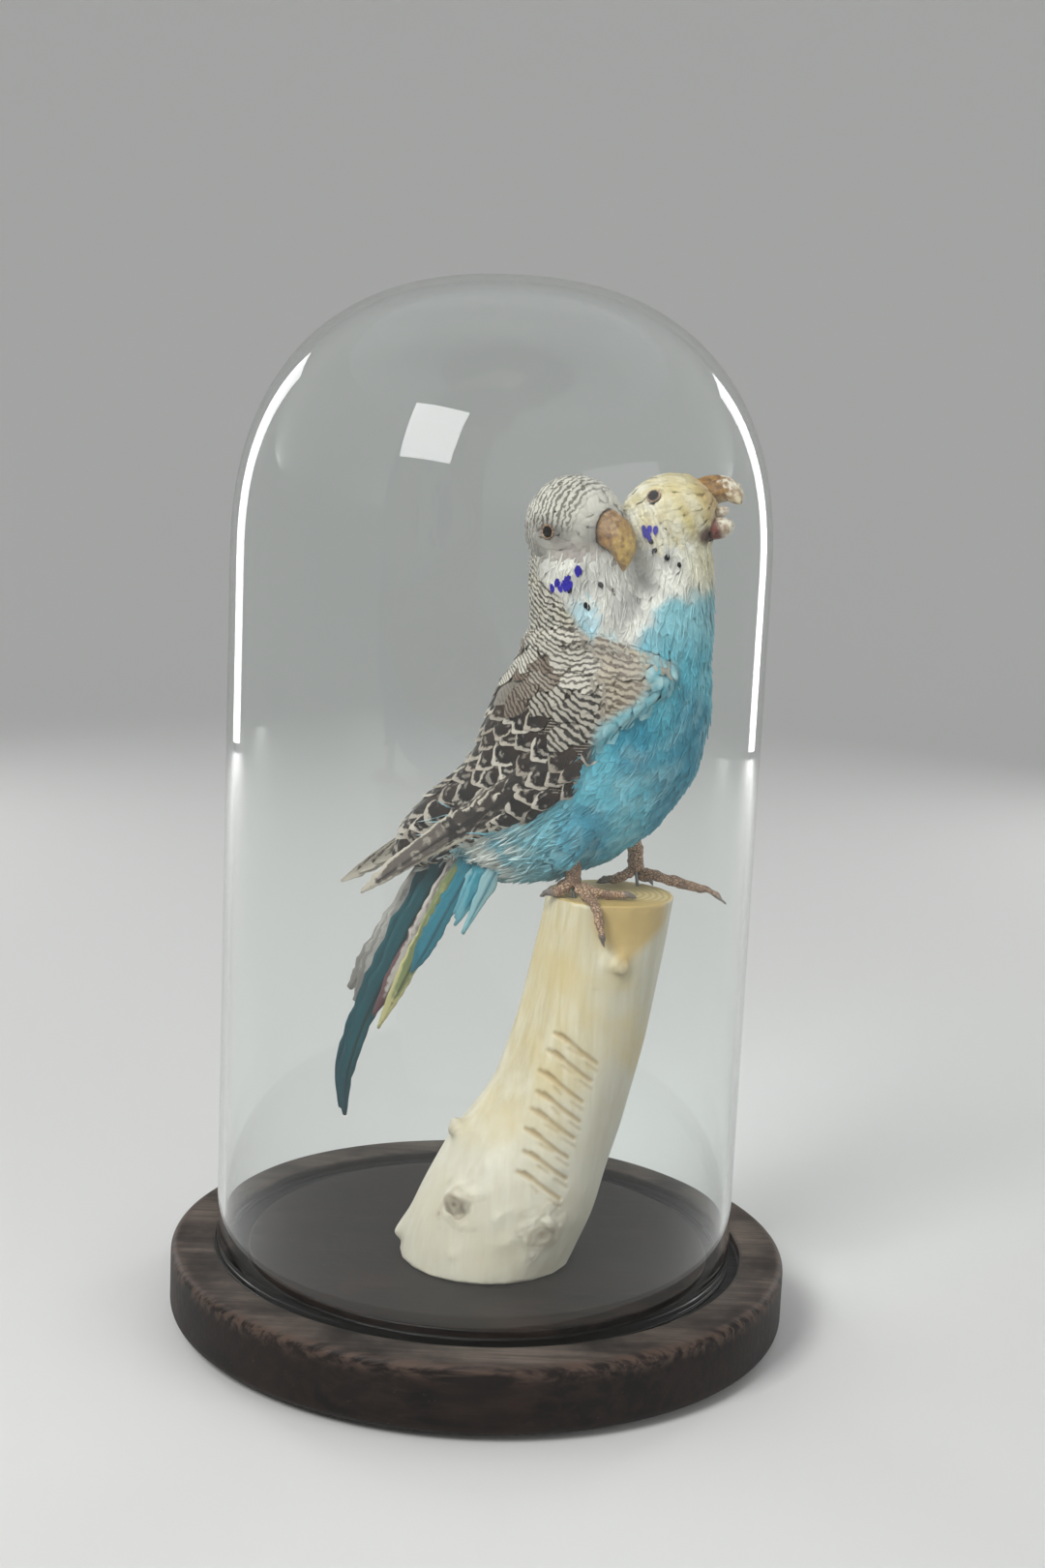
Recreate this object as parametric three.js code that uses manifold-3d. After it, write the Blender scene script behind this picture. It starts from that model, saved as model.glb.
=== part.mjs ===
// A display bell jar: a blown glass dome that lifts off a turned wooden base, over a two-headed budgerigar
// mounted on a peeled limb. Millimetres, +Z up, the origin in the middle of the underside, and -Y the front.
import * as THREE from "three";
import { mergeVertices } from "three/addons/utils/BufferGeometryUtils.js";
import Module from "manifold-3d";

const wasm = await Module();
wasm.setup();

// ---- Driving dimensions ----
const GAP = 0.3; // between neighbours that are glued, pressed or sewn together
const FELT_THICKNESS = 1.5;
const BASE_RADIUS = 90;
const BASE_THICKNESS = 20;
const GROOVE_INNER = 67.5;
const GROOVE_OUTER = 77.3;
const GROOVE_DEPTH = 3;
const DOME_RIM_RADIUS = 75.3;
const DOME_SHOULDER_RADIUS = 75.9;
const DOME_HEIGHT = 281.5;
const DOME_CROWN_HEIGHT = 80;
const DOME_CROWN_POWER = 2.38; // 2 would be an ellipse; more is squarer at the shoulder
const DOME_WALL = 2.2;
const DOME_SHIFT = -1.5; // the dome stands a little to the left in its wide groove
const SEAT_CLEARANCE = 0.05;
const LIMB_TOP = 129.5;
const BIRD_DEPTH = -6; // the bird's middle plane stands this far towards the front
const LEG_WIRE_RADIUS = 0.5;
const NECK_WIRE_RADIUS = 0.8;
const SCREW_LENGTH = 42;

// ---- Heights that follow ----
const DECK = FELT_THICKNESS + BASE_THICKNESS; // the top face of the wooden base
const GROOVE_FLOOR = DECK - GROOVE_DEPTH;
const ROUND_SEGMENTS = 40;

// ---- Materials ----
const material = (color, roughness, metalness = 0) =>
  new THREE.MeshStandardMaterial({ color, roughness, metalness });
const GLASS = new THREE.MeshStandardMaterial({
  color: 0xe6f0ee,
  roughness: 0.02,
  metalness: 0,
  transparent: true,
  opacity: 0.25,
});
const STAINED_WOOD = material(0x3a2b25, 0.75);
const PEELED_WOOD = material(0xe3d6b4, 0.7);
const FELT = material(0x17181a, 0.95);
const STEEL = material(0x8d9196, 0.35, 1);
const BALSA = material(0xcdb38a, 0.8);
const BLUE_PLUMAGE = material(0x58b3c6, 0.85);
const WHITE_PLUMAGE = material(0xdcd9cd, 0.85);
const BARRED_PLUMAGE = material(0x4c433d, 0.8);
const FLIGHT_PLUMAGE = material(0x6a6360, 0.7);
const TEAL_PLUMAGE = material(0x17606b, 0.6);
const HORN = material(0xc08f3f, 0.45);
const TONGUE = material(0xd8cfc4, 0.6);
const SCALED_SKIN = material(0x8a7466, 0.7);
const GLASS_EYE = material(0x0b0908, 0.05);

// ---- Geometry helpers ----
const UP = new THREE.Vector3(0, 0, 1);
const ACROSS = new THREE.Vector3(0, 1, 0);
const ALONG_X = new THREE.Vector3(1, 0, 0);

/** A closed three.js geometry as a solid that can be joined and cut. */
function toSolid(geometry) {
  const bare = geometry.clone();
  bare.deleteAttribute("normal");
  bare.deleteAttribute("uv");
  const merged = mergeVertices(bare, 1e-4);
  return new wasm.Manifold(
    new wasm.Mesh({
      numProp: 3,
      vertProperties: merged.attributes.position.array,
      triVerts: new Uint32Array(merged.index.array),
    }),
  );
}

/** A solid back as a three.js geometry. Slivers that a cut left behind are dropped. */
function toGeometry(solid) {
  const pieces = solid.decompose();
  const main = pieces.reduce((a, b) => (b.volume() > a.volume() ? b : a));
  const mesh = main.getMesh();
  const geometry = new THREE.BufferGeometry();
  geometry.setAttribute("position", new THREE.BufferAttribute(mesh.vertProperties, 3));
  geometry.setIndex(new THREE.BufferAttribute(mesh.triVerts, 1));
  geometry.computeVertexNormals();
  return geometry;
}

function add(group, name, solid, look) {
  const mesh = new THREE.Mesh(toGeometry(solid), look);
  mesh.name = name;
  group.add(mesh);
  return mesh;
}

const join = (solids) => solids.reduce((a, b) => a.add(b));
const cut = (solid, ...tools) => tools.reduce((a, b) => a.subtract(b), solid);

/** Half an outline turned round the vertical axis. Points are (radius, height), going anticlockwise. */
function turned(points, segments = ROUND_SEGMENTS) {
  const outline = points.map(([r, z]) => new THREE.Vector2(r, z));
  return toSolid(new THREE.LatheGeometry(outline, segments).rotateX(Math.PI / 2));
}

/**
 * A rounded solid along a smooth line through stations [x, y, z, wide, deep]. deep is the half thickness
 * along the side direction and wide the half width square to it. grow makes it fatter all over.
 */
function sweep(stations, { side = ACROSS, around = 12, along = 10, grow = 0 } = {}) {
  const line = new THREE.CatmullRomCurve3(
    stations.map(([x, y, z]) => new THREE.Vector3(x, y, z)),
    false,
    "centripetal",
  );
  const size = new THREE.SplineCurve(stations.map((s) => new THREE.Vector2(s[3], s[4])));
  const geometry = new THREE.SphereGeometry(1, around, along);
  const place = geometry.attributes.position;
  const unit = new THREE.Vector3();
  for (let i = 0; i < place.count; i += 1) {
    unit.fromBufferAttribute(place, i);
    const polar = Math.acos(THREE.MathUtils.clamp(unit.y, -1, 1));
    const t = polar / Math.PI;
    const tangent = line.getTangent(t);
    const deepWay = side.clone().addScaledVector(tangent, -side.dot(tangent)).normalize();
    const wideWay = new THREE.Vector3().crossVectors(deepWay, tangent);
    const reach = size.getPoint(t);
    const ring = Math.sin(polar);
    const point = line.getPoint(t);
    if (ring > 1e-6) {
      point.addScaledVector(wideWay, (unit.x / ring) * (reach.x + grow));
      point.addScaledVector(deepWay, (unit.z / ring) * (reach.y + grow));
    } else {
      point.addScaledVector(tangent, t < 0.5 ? -grow : grow);
    }
    place.setXYZ(i, point.x, point.y, point.z);
  }
  return toSolid(geometry);
}

const ball = ([x, y, z], [rx, ry, rz], around = 16, along = 12) =>
  toSolid(new THREE.SphereGeometry(1, around, along).scale(rx, ry, rz).translate(x, y, z));

/** A straight round bar between two points. */
function bar(from, to, radius, segments = 8) {
  const a = new THREE.Vector3(...from);
  const b = new THREE.Vector3(...to);
  const way = b.clone().sub(a);
  const geometry = new THREE.CylinderGeometry(radius, radius, way.length(), segments);
  geometry.applyQuaternion(new THREE.Quaternion().setFromUnitVectors(ACROSS, way.normalize()));
  const middle = a.add(b).multiplyScalar(0.5);
  return toSolid(geometry.translate(middle.x, middle.y, middle.z));
}

/** The region of a smooth outline of (x, z) points, from one depth to another. */
function slab(outline, fromDepth, toDepth) {
  const shape = new THREE.Shape();
  const points = outline.map(([x, z]) => new THREE.Vector2(x, z));
  shape.moveTo(points[0].x, points[0].y);
  shape.splineThru([...points.slice(1), points[0]]);
  const geometry = new THREE.ExtrudeGeometry(shape, {
    depth: toDepth - fromDepth,
    bevelEnabled: false,
    curveSegments: 2,
  });
  return toSolid(geometry.rotateX(Math.PI / 2).translate(0, toDepth, 0));
}

const mirrored = (stations) => stations.map(([x, y, z, wide, deep]) => [x, -y, z, wide, deep]);

// ---- Base, felt, screws ----
const SCREWS = { left: [-3, -13], right: [13, -11] };

function woodBase() {
  const topRound = 2.5;
  const footRound = 4;
  const arc = (cx, cz, r, from, to) =>
    [0, 1, 2, 3].map((i) => {
      const a = THREE.MathUtils.degToRad(from + ((to - from) * i) / 3);
      return [cx + r * Math.cos(a), cz + r * Math.sin(a)];
    });
  return turned([
    [0, FELT_THICKNESS],
    ...arc(BASE_RADIUS - footRound, FELT_THICKNESS + footRound, footRound, -90, 0),
    ...arc(BASE_RADIUS - topRound, DECK - topRound, topRound, 0, 90),
    [GROOVE_OUTER, DECK],
    [GROOVE_OUTER, GROOVE_FLOOR],
    [GROOVE_INNER, GROOVE_FLOOR],
    [GROOVE_INNER, DECK],
    [0, DECK],
  ]);
}

/** A countersunk wood screw, head down, with its point up. */
function screw([x, y], grow = 0) {
  const head = 4;
  const shank = 2;
  const headHeight = 2.6;
  const low = FELT_THICKNESS + 0.2 - grow;
  const top = low + SCREW_LENGTH + grow;
  return turned(
    [
      [0, low],
      [head + grow, low],
      [head + grow, low + 0.4 + grow],
      [shank + grow, low + headHeight + grow],
      [shank + grow, top - 6],
      [0, top + grow],
    ],
    16,
  ).translate([x, y, 0]);
}

// ---- Glass dome, in its own frame: the middle of its rim is the origin ----
function domeOutline(inset) {
  const shoulder = DOME_HEIGHT - DOME_CROWN_HEIGHT;
  const steps = 9;
  const power = 2 / DOME_CROWN_POWER;
  const crown = Array.from({ length: steps + 1 }, (_, i) => {
    const a = (Math.PI / 2) * (i / steps);
    const radius = (DOME_SHOULDER_RADIUS - inset) * Math.cos(a) ** power;
    const height = shoulder + (DOME_CROWN_HEIGHT - inset) * Math.sin(a) ** power;
    return [i === steps ? 0 : radius, height];
  });
  return [[DOME_RIM_RADIUS - inset, 0], ...crown];
}

function glassDome() {
  const roundness = 0.6; // the rim is melted round
  const outer = domeOutline(0);
  const inner = domeOutline(DOME_WALL).reverse();
  outer[0] = [DOME_RIM_RADIUS, roundness];
  inner[inner.length - 1] = [DOME_RIM_RADIUS - DOME_WALL, roundness];
  return turned([
    ...inner,
    [DOME_RIM_RADIUS - DOME_WALL + roundness, 0],
    [DOME_RIM_RADIUS - roundness, 0],
    ...outer,
  ]);
}

// ---- The peeled limb ----
const LIMB_LINE = [
  [1, -11, 12, 24.6, 25],
  [2, -11, 24, 24.2, 25],
  [6.8, -11, 36, 24.2, 24.6],
  [11.5, -11, 47, 23.8, 23.5],
  [16, -10.5, 57, 21.6, 21.5],
  [21, -10, 68, 19.6, 19.8],
  [26, -9, 87, 19.1, 19.2],
  [30.6, -8.5, 110, 18.5, 18.6],
  [33.4, -8, 129, 18.2, 18.2],
  [35, -8, 142, 18, 18],
];

function limb() {
  const trunk = sweep(LIMB_LINE, { around: 20, along: 16 });
  const knots = [
    sweep([[-3, -16, 58, 3, 3], [-7, -17, 61, 2.6, 2.6], [-9.5, -17.5, 63.5, 1, 1]], { around: 8, along: 5 }),
    sweep([[-2, -26, 44, 5, 5], [-6, -31, 44, 4, 4.2], [-7, -33, 43.5, 2.2, 2.4]], { around: 8, along: 5 }),
    sweep([[15, -24, 38, 7, 6], [17.5, -31.5, 37, 6, 4.6], [18.5, -34, 36.4, 3.4, 2.6]], {
      around: 8,
      along: 5,
    }),
    sweep([[34, -22, 113, 4, 4], [37, -26.5, 112.5, 2.6, 2.6], [37.8, -28.2, 112.4, 1, 1]], {
      around: 8,
      along: 5,
    }),
    sweep([[-12, -10, 30, 9, 9], [-20, -9, 27.5, 5, 6], [-25.5, -8, 25.6, 1.2, 2]], { around: 10, along: 6 }),
  ];
  const size = 120;
  const box = (z) => toSolid(new THREE.BoxGeometry(size, size, size).translate(0, 0, z));
  return cut(join([trunk, ...knots]), box(DECK - size / 2), box(LIMB_TOP + size / 2));
}

// ---- The bird, in its own frame: y is 0 on its middle plane ----
const BODY_LINE = [
  [36, 0, 216, 10, 9],
  [35.5, 0, 206, 20, 14],
  [33.5, 0, 191, 26, 17.5],
  [28, 0, 173, 29, 19],
  [15.5, 0, 158, 25.5, 17],
  [1, 0, 149.5, 18.5, 12.5],
  [-12, 0, 146.5, 9, 8],
  [-20, 0, 141.5, 5, 5],
  [-26, 0, 137, 2, 2.5],
];
const REAR_NECK = [
  [27, 0, 186, 15, 14],
  [25, -1, 202, 17, 15.5],
  [22, -3, 216, 15, 14.5],
  [19.5, -5, 228, 12.8, 12.6],
  [18.5, -5, 238, 10, 10],
];
const FRONT_NECK = [
  [42, 0, 186, 15, 14],
  [43.5, 1, 203, 15.2, 14],
  [45, 2, 217, 13, 12.6],
  [45, 3, 229, 11.6, 11.4],
  [44.5, 3, 240, 8, 8],
];
const RIGHT_THIGH = [
  [24, -9, 158, 11, 7],
  [20, -12, 148, 8.5, 5.5],
  [19.5, -12, 141, 4.5, 3.6],
  [20.5, -11, 136.5, 1.6, 1.6],
];
const LEFT_THIGH = [
  [36, 8, 160, 9, 6],
  [38.5, 9.5, 152, 6, 4.8],
  [40, 9.5, 147, 3, 2.6],
  [40.7, 9.5, 143.5, 1.4, 1.4],
];
const VENT = [
  [14, 0, 147, 9, 10],
  [9, 0, 139, 6.5, 8],
  [5, 0, 133.5, 2, 3],
];
const FORM_LINE = [
  [34, 0, 203, 8, 7],
  [33, 0, 193, 14, 10],
  [29, 0, 176, 17, 12],
  [20, 0, 161, 14, 11],
  [8, 0, 152, 8, 7],
  [1, 0, 147, 3, 3],
];
const LEG_WIRES = {
  right: [[20, -9.5, 158], [25.2, -11.2, 108]],
  left: [[37.5, 8.5, 162], [44.4, 10, 110]],
};
const NECK_WIRES = {
  rear: [[27, -1, 186], [19, -5, 233]],
  front: [[38, 1, 186], [46, 3, 234]],
};

const bodyBulk = (grow = 0) =>
  join([
    sweep(BODY_LINE, { around: 18, along: 14, grow }),
    sweep(REAR_NECK, { around: 14, along: 6, grow }),
    sweep(FRONT_NECK, { around: 14, along: 6, grow }),
    sweep(RIGHT_THIGH, { around: 10, along: 6, grow }),
    sweep(LEFT_THIGH, { around: 10, along: 6, grow }),
    sweep(VENT, { around: 10, along: 5, grow }),
  ]);
const bodyForm = (grow = 0) => sweep(FORM_LINE, { around: 10, along: 8, grow });
const legWire = (name, grow = 0) => bar(...LEG_WIRES[name], LEG_WIRE_RADIUS + grow);
const neckWire = (name, grow = 0) => bar(...NECK_WIRES[name], NECK_WIRE_RADIUS + grow);

// ---- Heads, each in its own frame: +X out of the bill, +Z out of the crown ----
const HEADS = {
  rear: {
    at: [18.5, -5, 232.5],
    yaw: -42,
    pitch: -4,
    roll: 0,
    radii: [14.2, 13.2, 14.3],
    eye: [1.5, 12.2, -1],
    upperBill: [
      [7.5, 0, 0.4, 5.2, 4.8],
      [13.5, 0, 0.6, 5.4, 5],
      [17.8, 0, -3, 4, 3.7],
      [18.6, 0, -9.8, 1.1, 1],
    ],
    lowerBill: [[7, 0, -6.4, 2.8, 3.2], [11.6, 0, -8, 2.3, 2.8], [14, 0, -8.4, 0.8, 1.2]],
  },
  front: {
    at: [45, 3, 235.3],
    yaw: 0,
    pitch: 25,
    roll: 35,
    radii: [14.6, 12.4, 12.8],
    eye: [-2, 11.5, 1.5],
    upperBill: [
      [9, 0, 3.6, 4.2, 4],
      [14.4, 0, 3.6, 3.9, 3.8],
      [18.8, 0, 1.2, 3, 2.8],
      [19.8, 0, -4, 1.2, 1.1],
    ],
    lowerBill: [[8.5, 0, -7.4, 2.8, 3], [12.8, 0, -9, 2.3, 2.6], [15.4, 0, -8.6, 1, 1.2]],
    tongue: [[9, 0, -3, 1.9, 2.1], [13.6, 0, -4, 1.7, 2], [16.4, 0, -4.2, 0.9, 1.1]],
  },
};

function headMatrix({ at, yaw, pitch, roll }) {
  const turn = (axis, degrees) =>
    new THREE.Matrix4().makeRotationAxis(axis, THREE.MathUtils.degToRad(degrees));
  const matrix = new THREE.Matrix4().makeTranslation(...at);
  return matrix.multiply(turn(UP, yaw)).multiply(turn(ACROSS, -pitch)).multiply(turn(ALONG_X, -roll));
}

const skull = ({ radii }, grow = 0) => ball([0, 0, 0], radii.map((r) => r + grow), 16, 10);
const billPart = (stations, grow = 0) => sweep(stations, { around: 8, along: 7, grow });
const eyeBall = ({ eye: [x, y, z] }, side, grow = 0) => {
  const r = 1.9 + grow;
  return ball([x, side * y, z], [r, r, r], 8, 6);
};

function headPieces(name) {
  const head = HEADS[name];
  const wire = (grow) => neckWire(name, grow).transform(headMatrix(head).clone().invert().elements);
  const bills = [head.upperBill, head.lowerBill, ...(head.tongue ? [head.tongue] : [])];
  const eyes = { right: -1, left: 1 };
  const pieces = {
    [`head_${name}`]: [
      cut(
        skull(head),
        ...bills.map((b) => billPart(b, GAP)),
        ...Object.values(eyes).map((side) => eyeBall(head, side, GAP)),
        wire(GAP),
      ),
      WHITE_PLUMAGE,
    ],
    [`upper_bill_${name}`]: [cut(billPart(head.upperBill), billPart(head.lowerBill, GAP), wire(GAP)), HORN],
    [`lower_bill_${name}`]: [cut(billPart(head.lowerBill), wire(GAP)), HORN],
  };
  if (head.tongue) {
    const tools = [billPart(head.upperBill, GAP), billPart(head.lowerBill, GAP)];
    pieces[`tongue_${name}`] = [cut(billPart(head.tongue), ...tools), TONGUE];
  }
  for (const [way, side] of Object.entries(eyes)) {
    pieces[`eye_${name}_${way}`] = [eyeBall(head, side), GLASS_EYE];
  }
  return pieces;
}

const headInBird = (name, grow) => {
  const head = HEADS[name];
  const bills = [head.upperBill, head.lowerBill].map((b) => billPart(b, grow));
  const eyes = [-1, 1].map((side) => eyeBall(head, side, grow));
  return join([skull(head, grow), ...bills, ...eyes]).transform(headMatrix(head).elements);
};

// ---- Wings, tail and legs ----
const WING_OUTLINE = [
  [12, 204], [28, 203], [47, 196], [46, 190], [34, 181], [24.5, 172], [20, 161],
  [9, 153], [-4, 146.5], [-16, 137], [-30, 130], [-36, 146], [-24, 166], [-12, 186], [0, 198],
];
const FLIGHT_LINE = [
  [-4, -9.5, 153, 5, 1],
  [-12, -8.6, 147.5, 7.5, 1],
  [-22, -6.5, 139, 6, 0.9],
  [-31, -4.4, 131, 3.6, 0.8],
  [-38, -3.2, 126, 1, 0.5],
];
const FAR_FLIGHT_LINE = [
  [-10, -8, 156, 5, 1],
  [-18, -7.4, 149, 7, 1],
  [-28, -6.2, 140, 6, 0.9],
  [-37, -4.4, 132.6, 3.8, 0.8],
  [-44, -3.4, 127.4, 1.2, 0.5],
];
const TAIL_FEATHERS = {
  tail_feather_long_right: [
    [-9, -1.6, 144, 2.2, 0.4],
    [-15, -1.6, 135, 2.8, 0.4],
    [-22.5, -1.6, 118, 3.2, 0.4],
    [-29, -1.6, 103, 3.2, 0.4],
    [-35.8, -1.6, 87, 3, 0.4],
    [-39.8, -1.6, 72, 2.6, 0.4],
    [-40, -1.6, 59, 1.4, 0.3],
  ],
  tail_feather_long_left: [
    [-11, 0.4, 144.5, 2.2, 0.4],
    [-17, 0.4, 135, 2.8, 0.4],
    [-24, 0.4, 118.5, 3.2, 0.4],
    [-30.4, 0.4, 103.5, 3.2, 0.4],
    [-37, 0.4, 87.5, 3, 0.4],
    [-41, 0.4, 72.5, 2.6, 0.4],
    [-41.4, 0.4, 60.5, 1.4, 0.3],
  ],
  tail_feather_mid_right: [[-6, -3.6, 143, 2, 0.4], [-11, -3.8, 134.5, 2.6, 0.4], [-19, -4.2, 117, 3, 0.4],
    [-27, -4.6, 101, 3.4, 0.4], [-33, -4.6, 90, 1, 0.3]],
  tail_feather_mid_left: [[-13, 2.4, 144, 2, 0.4], [-19, 2.8, 134, 2.6, 0.4], [-26.5, 3.2, 118, 3, 0.4],
    [-34, 3.8, 103, 3.4, 0.4], [-38, 3.8, 94, 1, 0.3]],
  tail_feather_short: [[-2, -6.6, 141, 2, 0.4], [-7, -6.6, 133.5, 2.6, 0.4], [-14, -6.8, 120, 3, 0.4],
    [-19, -7, 110, 2.8, 0.4], [-22.4, -7, 104, 0.8, 0.3]],
  undertail_covert: [[3, -0.6, 141, 3, 0.8], [-1.5, -0.6, 133, 4.6, 0.9], [-6, -0.8, 126.5, 4.4, 0.8],
    [-11, -1, 121.4, 3, 0.6], [-14.6, -1, 118.2, 0.8, 0.4]],
};
const RIGHT_TOES = [
  [[22.6, -10.4, 133.6, 2, 2], [26, -16.5, 131.4, 1.6, 1.6], [28.6, -21, 129.8, 1.5, 1.5],
    [30.4, -22.8, 123.5, 1.1, 1.1], [31.8, -23, 117.5, 0.35, 0.35]],
  [[22.6, -10.4, 133.6, 2, 2], [28, -11.4, 131.5, 1.5, 1.5], [34, -12, 131, 1.3, 1.3],
    [38, -12.4, 131.3, 0.9, 0.9], [41.4, -12.6, 130.1, 0.35, 0.35]],
  [[22.6, -10.4, 133.6, 2, 2], [19.5, -5.5, 131.6, 1.5, 1.5], [20, -0.5, 131, 1.2, 1.2],
    [21.5, 3, 130.2, 0.35, 0.35]],
  [[22.6, -10.4, 133.6, 2, 2], [18.8, -12, 131.6, 1.5, 1.5], [15.6, -12, 130.9, 1.2, 1.2],
    [13.2, -11.6, 129.4, 0.35, 0.35]],
];
const LEFT_TOES = [
  [[41.2, 9.2, 134.6, 2, 2], [48, 9.4, 132.2, 1.6, 1.6], [56, 9, 130.4, 1.5, 1.5],
    [63.6, 8.6, 128.8, 1.1, 1.1], [69, 8, 124.6, 0.35, 0.35]],
  [[41.2, 9.2, 134.6, 2, 2], [37, 8.6, 131.8, 1.5, 1.5], [32.6, 8, 131, 1.2, 1.2],
    [29.4, 7.4, 130.2, 0.35, 0.35]],
  [[41.2, 9.2, 134.6, 2, 2], [43.5, 11.6, 131.8, 1.5, 1.5], [45.6, 13.6, 130.6, 1.1, 1.1],
    [47, 15.4, 128, 0.35, 0.35]],
  [[41.2, 9.2, 134.6, 2, 2], [38, 12, 131.8, 1.5, 1.5], [36, 13.8, 131, 1.1, 1.1],
    [34.6, 15.4, 130.2, 0.35, 0.35]],
];
const TARSI = {
  right: [[20.7, -9.8, 151, 2.4, 2.4], [21.6, -10.1, 143, 2.1, 2.1], [22.5, -10.3, 135, 2.6, 2.6],
    [22.7, -10.4, 131.6, 2.2, 2.2]],
  left: [[39, 8.8, 152, 2.1, 2.1], [40, 9, 144, 1.9, 1.9], [41, 9.2, 136.5, 2.4, 2.4],
    [41.3, 9.3, 132.6, 2, 2]],
};

const feather = (stations, grow = 0) => sweep(stations, { around: 8, along: 8, grow });
const leg = (tarsus, toes, grow = 0) =>
  join([
    sweep(tarsus, { side: ALONG_X, around: 8, along: 6, grow }),
    ...toes.map((toe) => sweep(toe, { side: UP, around: 6, along: 7, grow })),
  ]);

function wing(side, tools) {
  const shell = 3;
  const [from, to] = side < 0 ? [-40, -GAP / 2] : [GAP / 2, 40];
  const region = slab(WING_OUTLINE, from, to);
  return cut(bodyBulk(shell).intersect(region), bodyBulk(GAP), ...tools);
}

// ---- Assembly ----
const bell_jar = new THREE.Group();

const screwNames = Object.keys(SCREWS);
add(bell_jar, "wood_base", cut(woodBase(), ...screwNames.map((n) => screw(SCREWS[n], GAP))), STAINED_WOOD);
add(bell_jar, "felt_pad", turned([[0, 0], [84, 0], [84, FELT_THICKNESS], [0, FELT_THICKNESS]]), FELT);
for (const name of screwNames) {
  add(bell_jar, `perch_screw_${name}`, screw(SCREWS[name]), STEEL);
}

const dome = add(bell_jar, "glass_dome", glassDome(), GLASS);
dome.position.set(DOME_SHIFT, 0, GROOVE_FLOOR + SEAT_CLEARANCE);

const legs = {
  right: (grow) => leg(TARSI.right, RIGHT_TOES, grow),
  left: (grow) => leg(TARSI.left, LEFT_TOES, grow),
};
const inFrame = (solid) => solid.translate([0, BIRD_DEPTH, 0]);
const perch = cut(
  limb(),
  ...screwNames.map((n) => screw(SCREWS[n], GAP)),
  ...Object.keys(LEG_WIRES).map((n) => inFrame(legWire(n, GAP))),
  ...Object.values(legs).map((make) => inFrame(make(GAP))),
);
add(bell_jar, "perch_limb", perch, PEELED_WOOD);

const bird = new THREE.Group();
bird.position.y = BIRD_DEPTH;
bell_jar.add(bird);

const legWires = (grow) => Object.keys(LEG_WIRES).map((n) => legWire(n, grow));
const neckWires = (grow) => Object.keys(NECK_WIRES).map((n) => neckWire(n, grow));
for (const name of Object.keys(LEG_WIRES)) {
  add(bird, `leg_wire_${name}`, legWire(name), STEEL);
}
for (const name of Object.keys(NECK_WIRES)) {
  add(bird, `neck_wire_${name}`, neckWire(name), STEEL);
}
add(bird, "body_form", cut(bodyForm(), ...legWires(GAP), ...neckWires(GAP)), BALSA);
for (const [name, make] of Object.entries(legs)) {
  add(bird, `leg_${name}`, cut(make(0), legWire(name, GAP)), SCALED_SKIN);
}

for (const name of Object.keys(HEADS)) {
  const group = new THREE.Group();
  group.applyMatrix4(headMatrix(HEADS[name]));
  bird.add(group);
  for (const [piece, [solid, look]] of Object.entries(headPieces(name))) {
    add(group, piece, solid, look);
  }
}

const tails = (grow) => Object.values(TAIL_FEATHERS).map((s) => feather(s, grow));
const flights = {
  right: (grow) => feather(FLIGHT_LINE, grow),
  left: (grow) => feather(mirrored(FAR_FLIGHT_LINE), grow),
};
const body = cut(
  bodyBulk(),
  bodyForm(GAP),
  ...legWires(GAP),
  ...neckWires(GAP),
  ...Object.keys(HEADS).map((n) => headInBird(n, GAP)),
  ...Object.values(legs).map((make) => make(GAP)),
  ...tails(GAP),
  ...Object.values(flights).map((make) => make(GAP)),
);
add(bird, "body_plumage", body, BLUE_PLUMAGE);

for (const [name, side] of [["right", -1], ["left", 1]]) {
  const tools = [
    ...tails(GAP),
    ...Object.values(flights).map((make) => make(GAP)),
    ...Object.keys(HEADS).map((n) => headInBird(n, GAP)),
  ];
  add(bird, `wing_coverts_${name}`, wing(side, tools), BARRED_PLUMAGE);
  add(bird, `flight_feathers_${name}`, flights[name](0), FLIGHT_PLUMAGE);
}
for (const [name, stations] of Object.entries(TAIL_FEATHERS)) {
  add(bird, name, feather(stations), TEAL_PLUMAGE);
}

export default bell_jar;
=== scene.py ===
"""A bell jar display: a glass dome on a stained wooden base, over a two-headed budgerigar on a peeled limb.

The frame is the part's own, +Z up, with -Y the front. Lengths are millimetres, except that lamps and the
camera's distance are in metres."""

import math

import bpy
import numpy as np
from mathutils import Matrix, Vector
from mathutils.bvhtree import BVHTree


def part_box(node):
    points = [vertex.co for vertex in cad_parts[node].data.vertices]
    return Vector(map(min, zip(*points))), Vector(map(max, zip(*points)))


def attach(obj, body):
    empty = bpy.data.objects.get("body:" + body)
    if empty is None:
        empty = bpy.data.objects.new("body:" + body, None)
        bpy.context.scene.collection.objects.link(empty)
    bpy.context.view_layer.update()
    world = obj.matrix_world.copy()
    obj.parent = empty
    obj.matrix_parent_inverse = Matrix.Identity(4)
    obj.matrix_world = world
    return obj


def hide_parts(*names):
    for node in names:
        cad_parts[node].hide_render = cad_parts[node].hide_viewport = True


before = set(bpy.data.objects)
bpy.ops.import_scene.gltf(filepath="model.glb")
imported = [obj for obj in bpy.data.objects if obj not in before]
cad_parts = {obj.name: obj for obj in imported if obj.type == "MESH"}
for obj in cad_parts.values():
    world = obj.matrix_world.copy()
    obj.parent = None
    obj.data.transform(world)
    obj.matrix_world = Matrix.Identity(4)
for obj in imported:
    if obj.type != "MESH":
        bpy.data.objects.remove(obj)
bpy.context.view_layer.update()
scene = bpy.context.scene
rng = np.random.default_rng(11)

MM = 0.001
METRE = 1000
TAU = 2 * math.pi
BIRD_Y = -6.0
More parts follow.
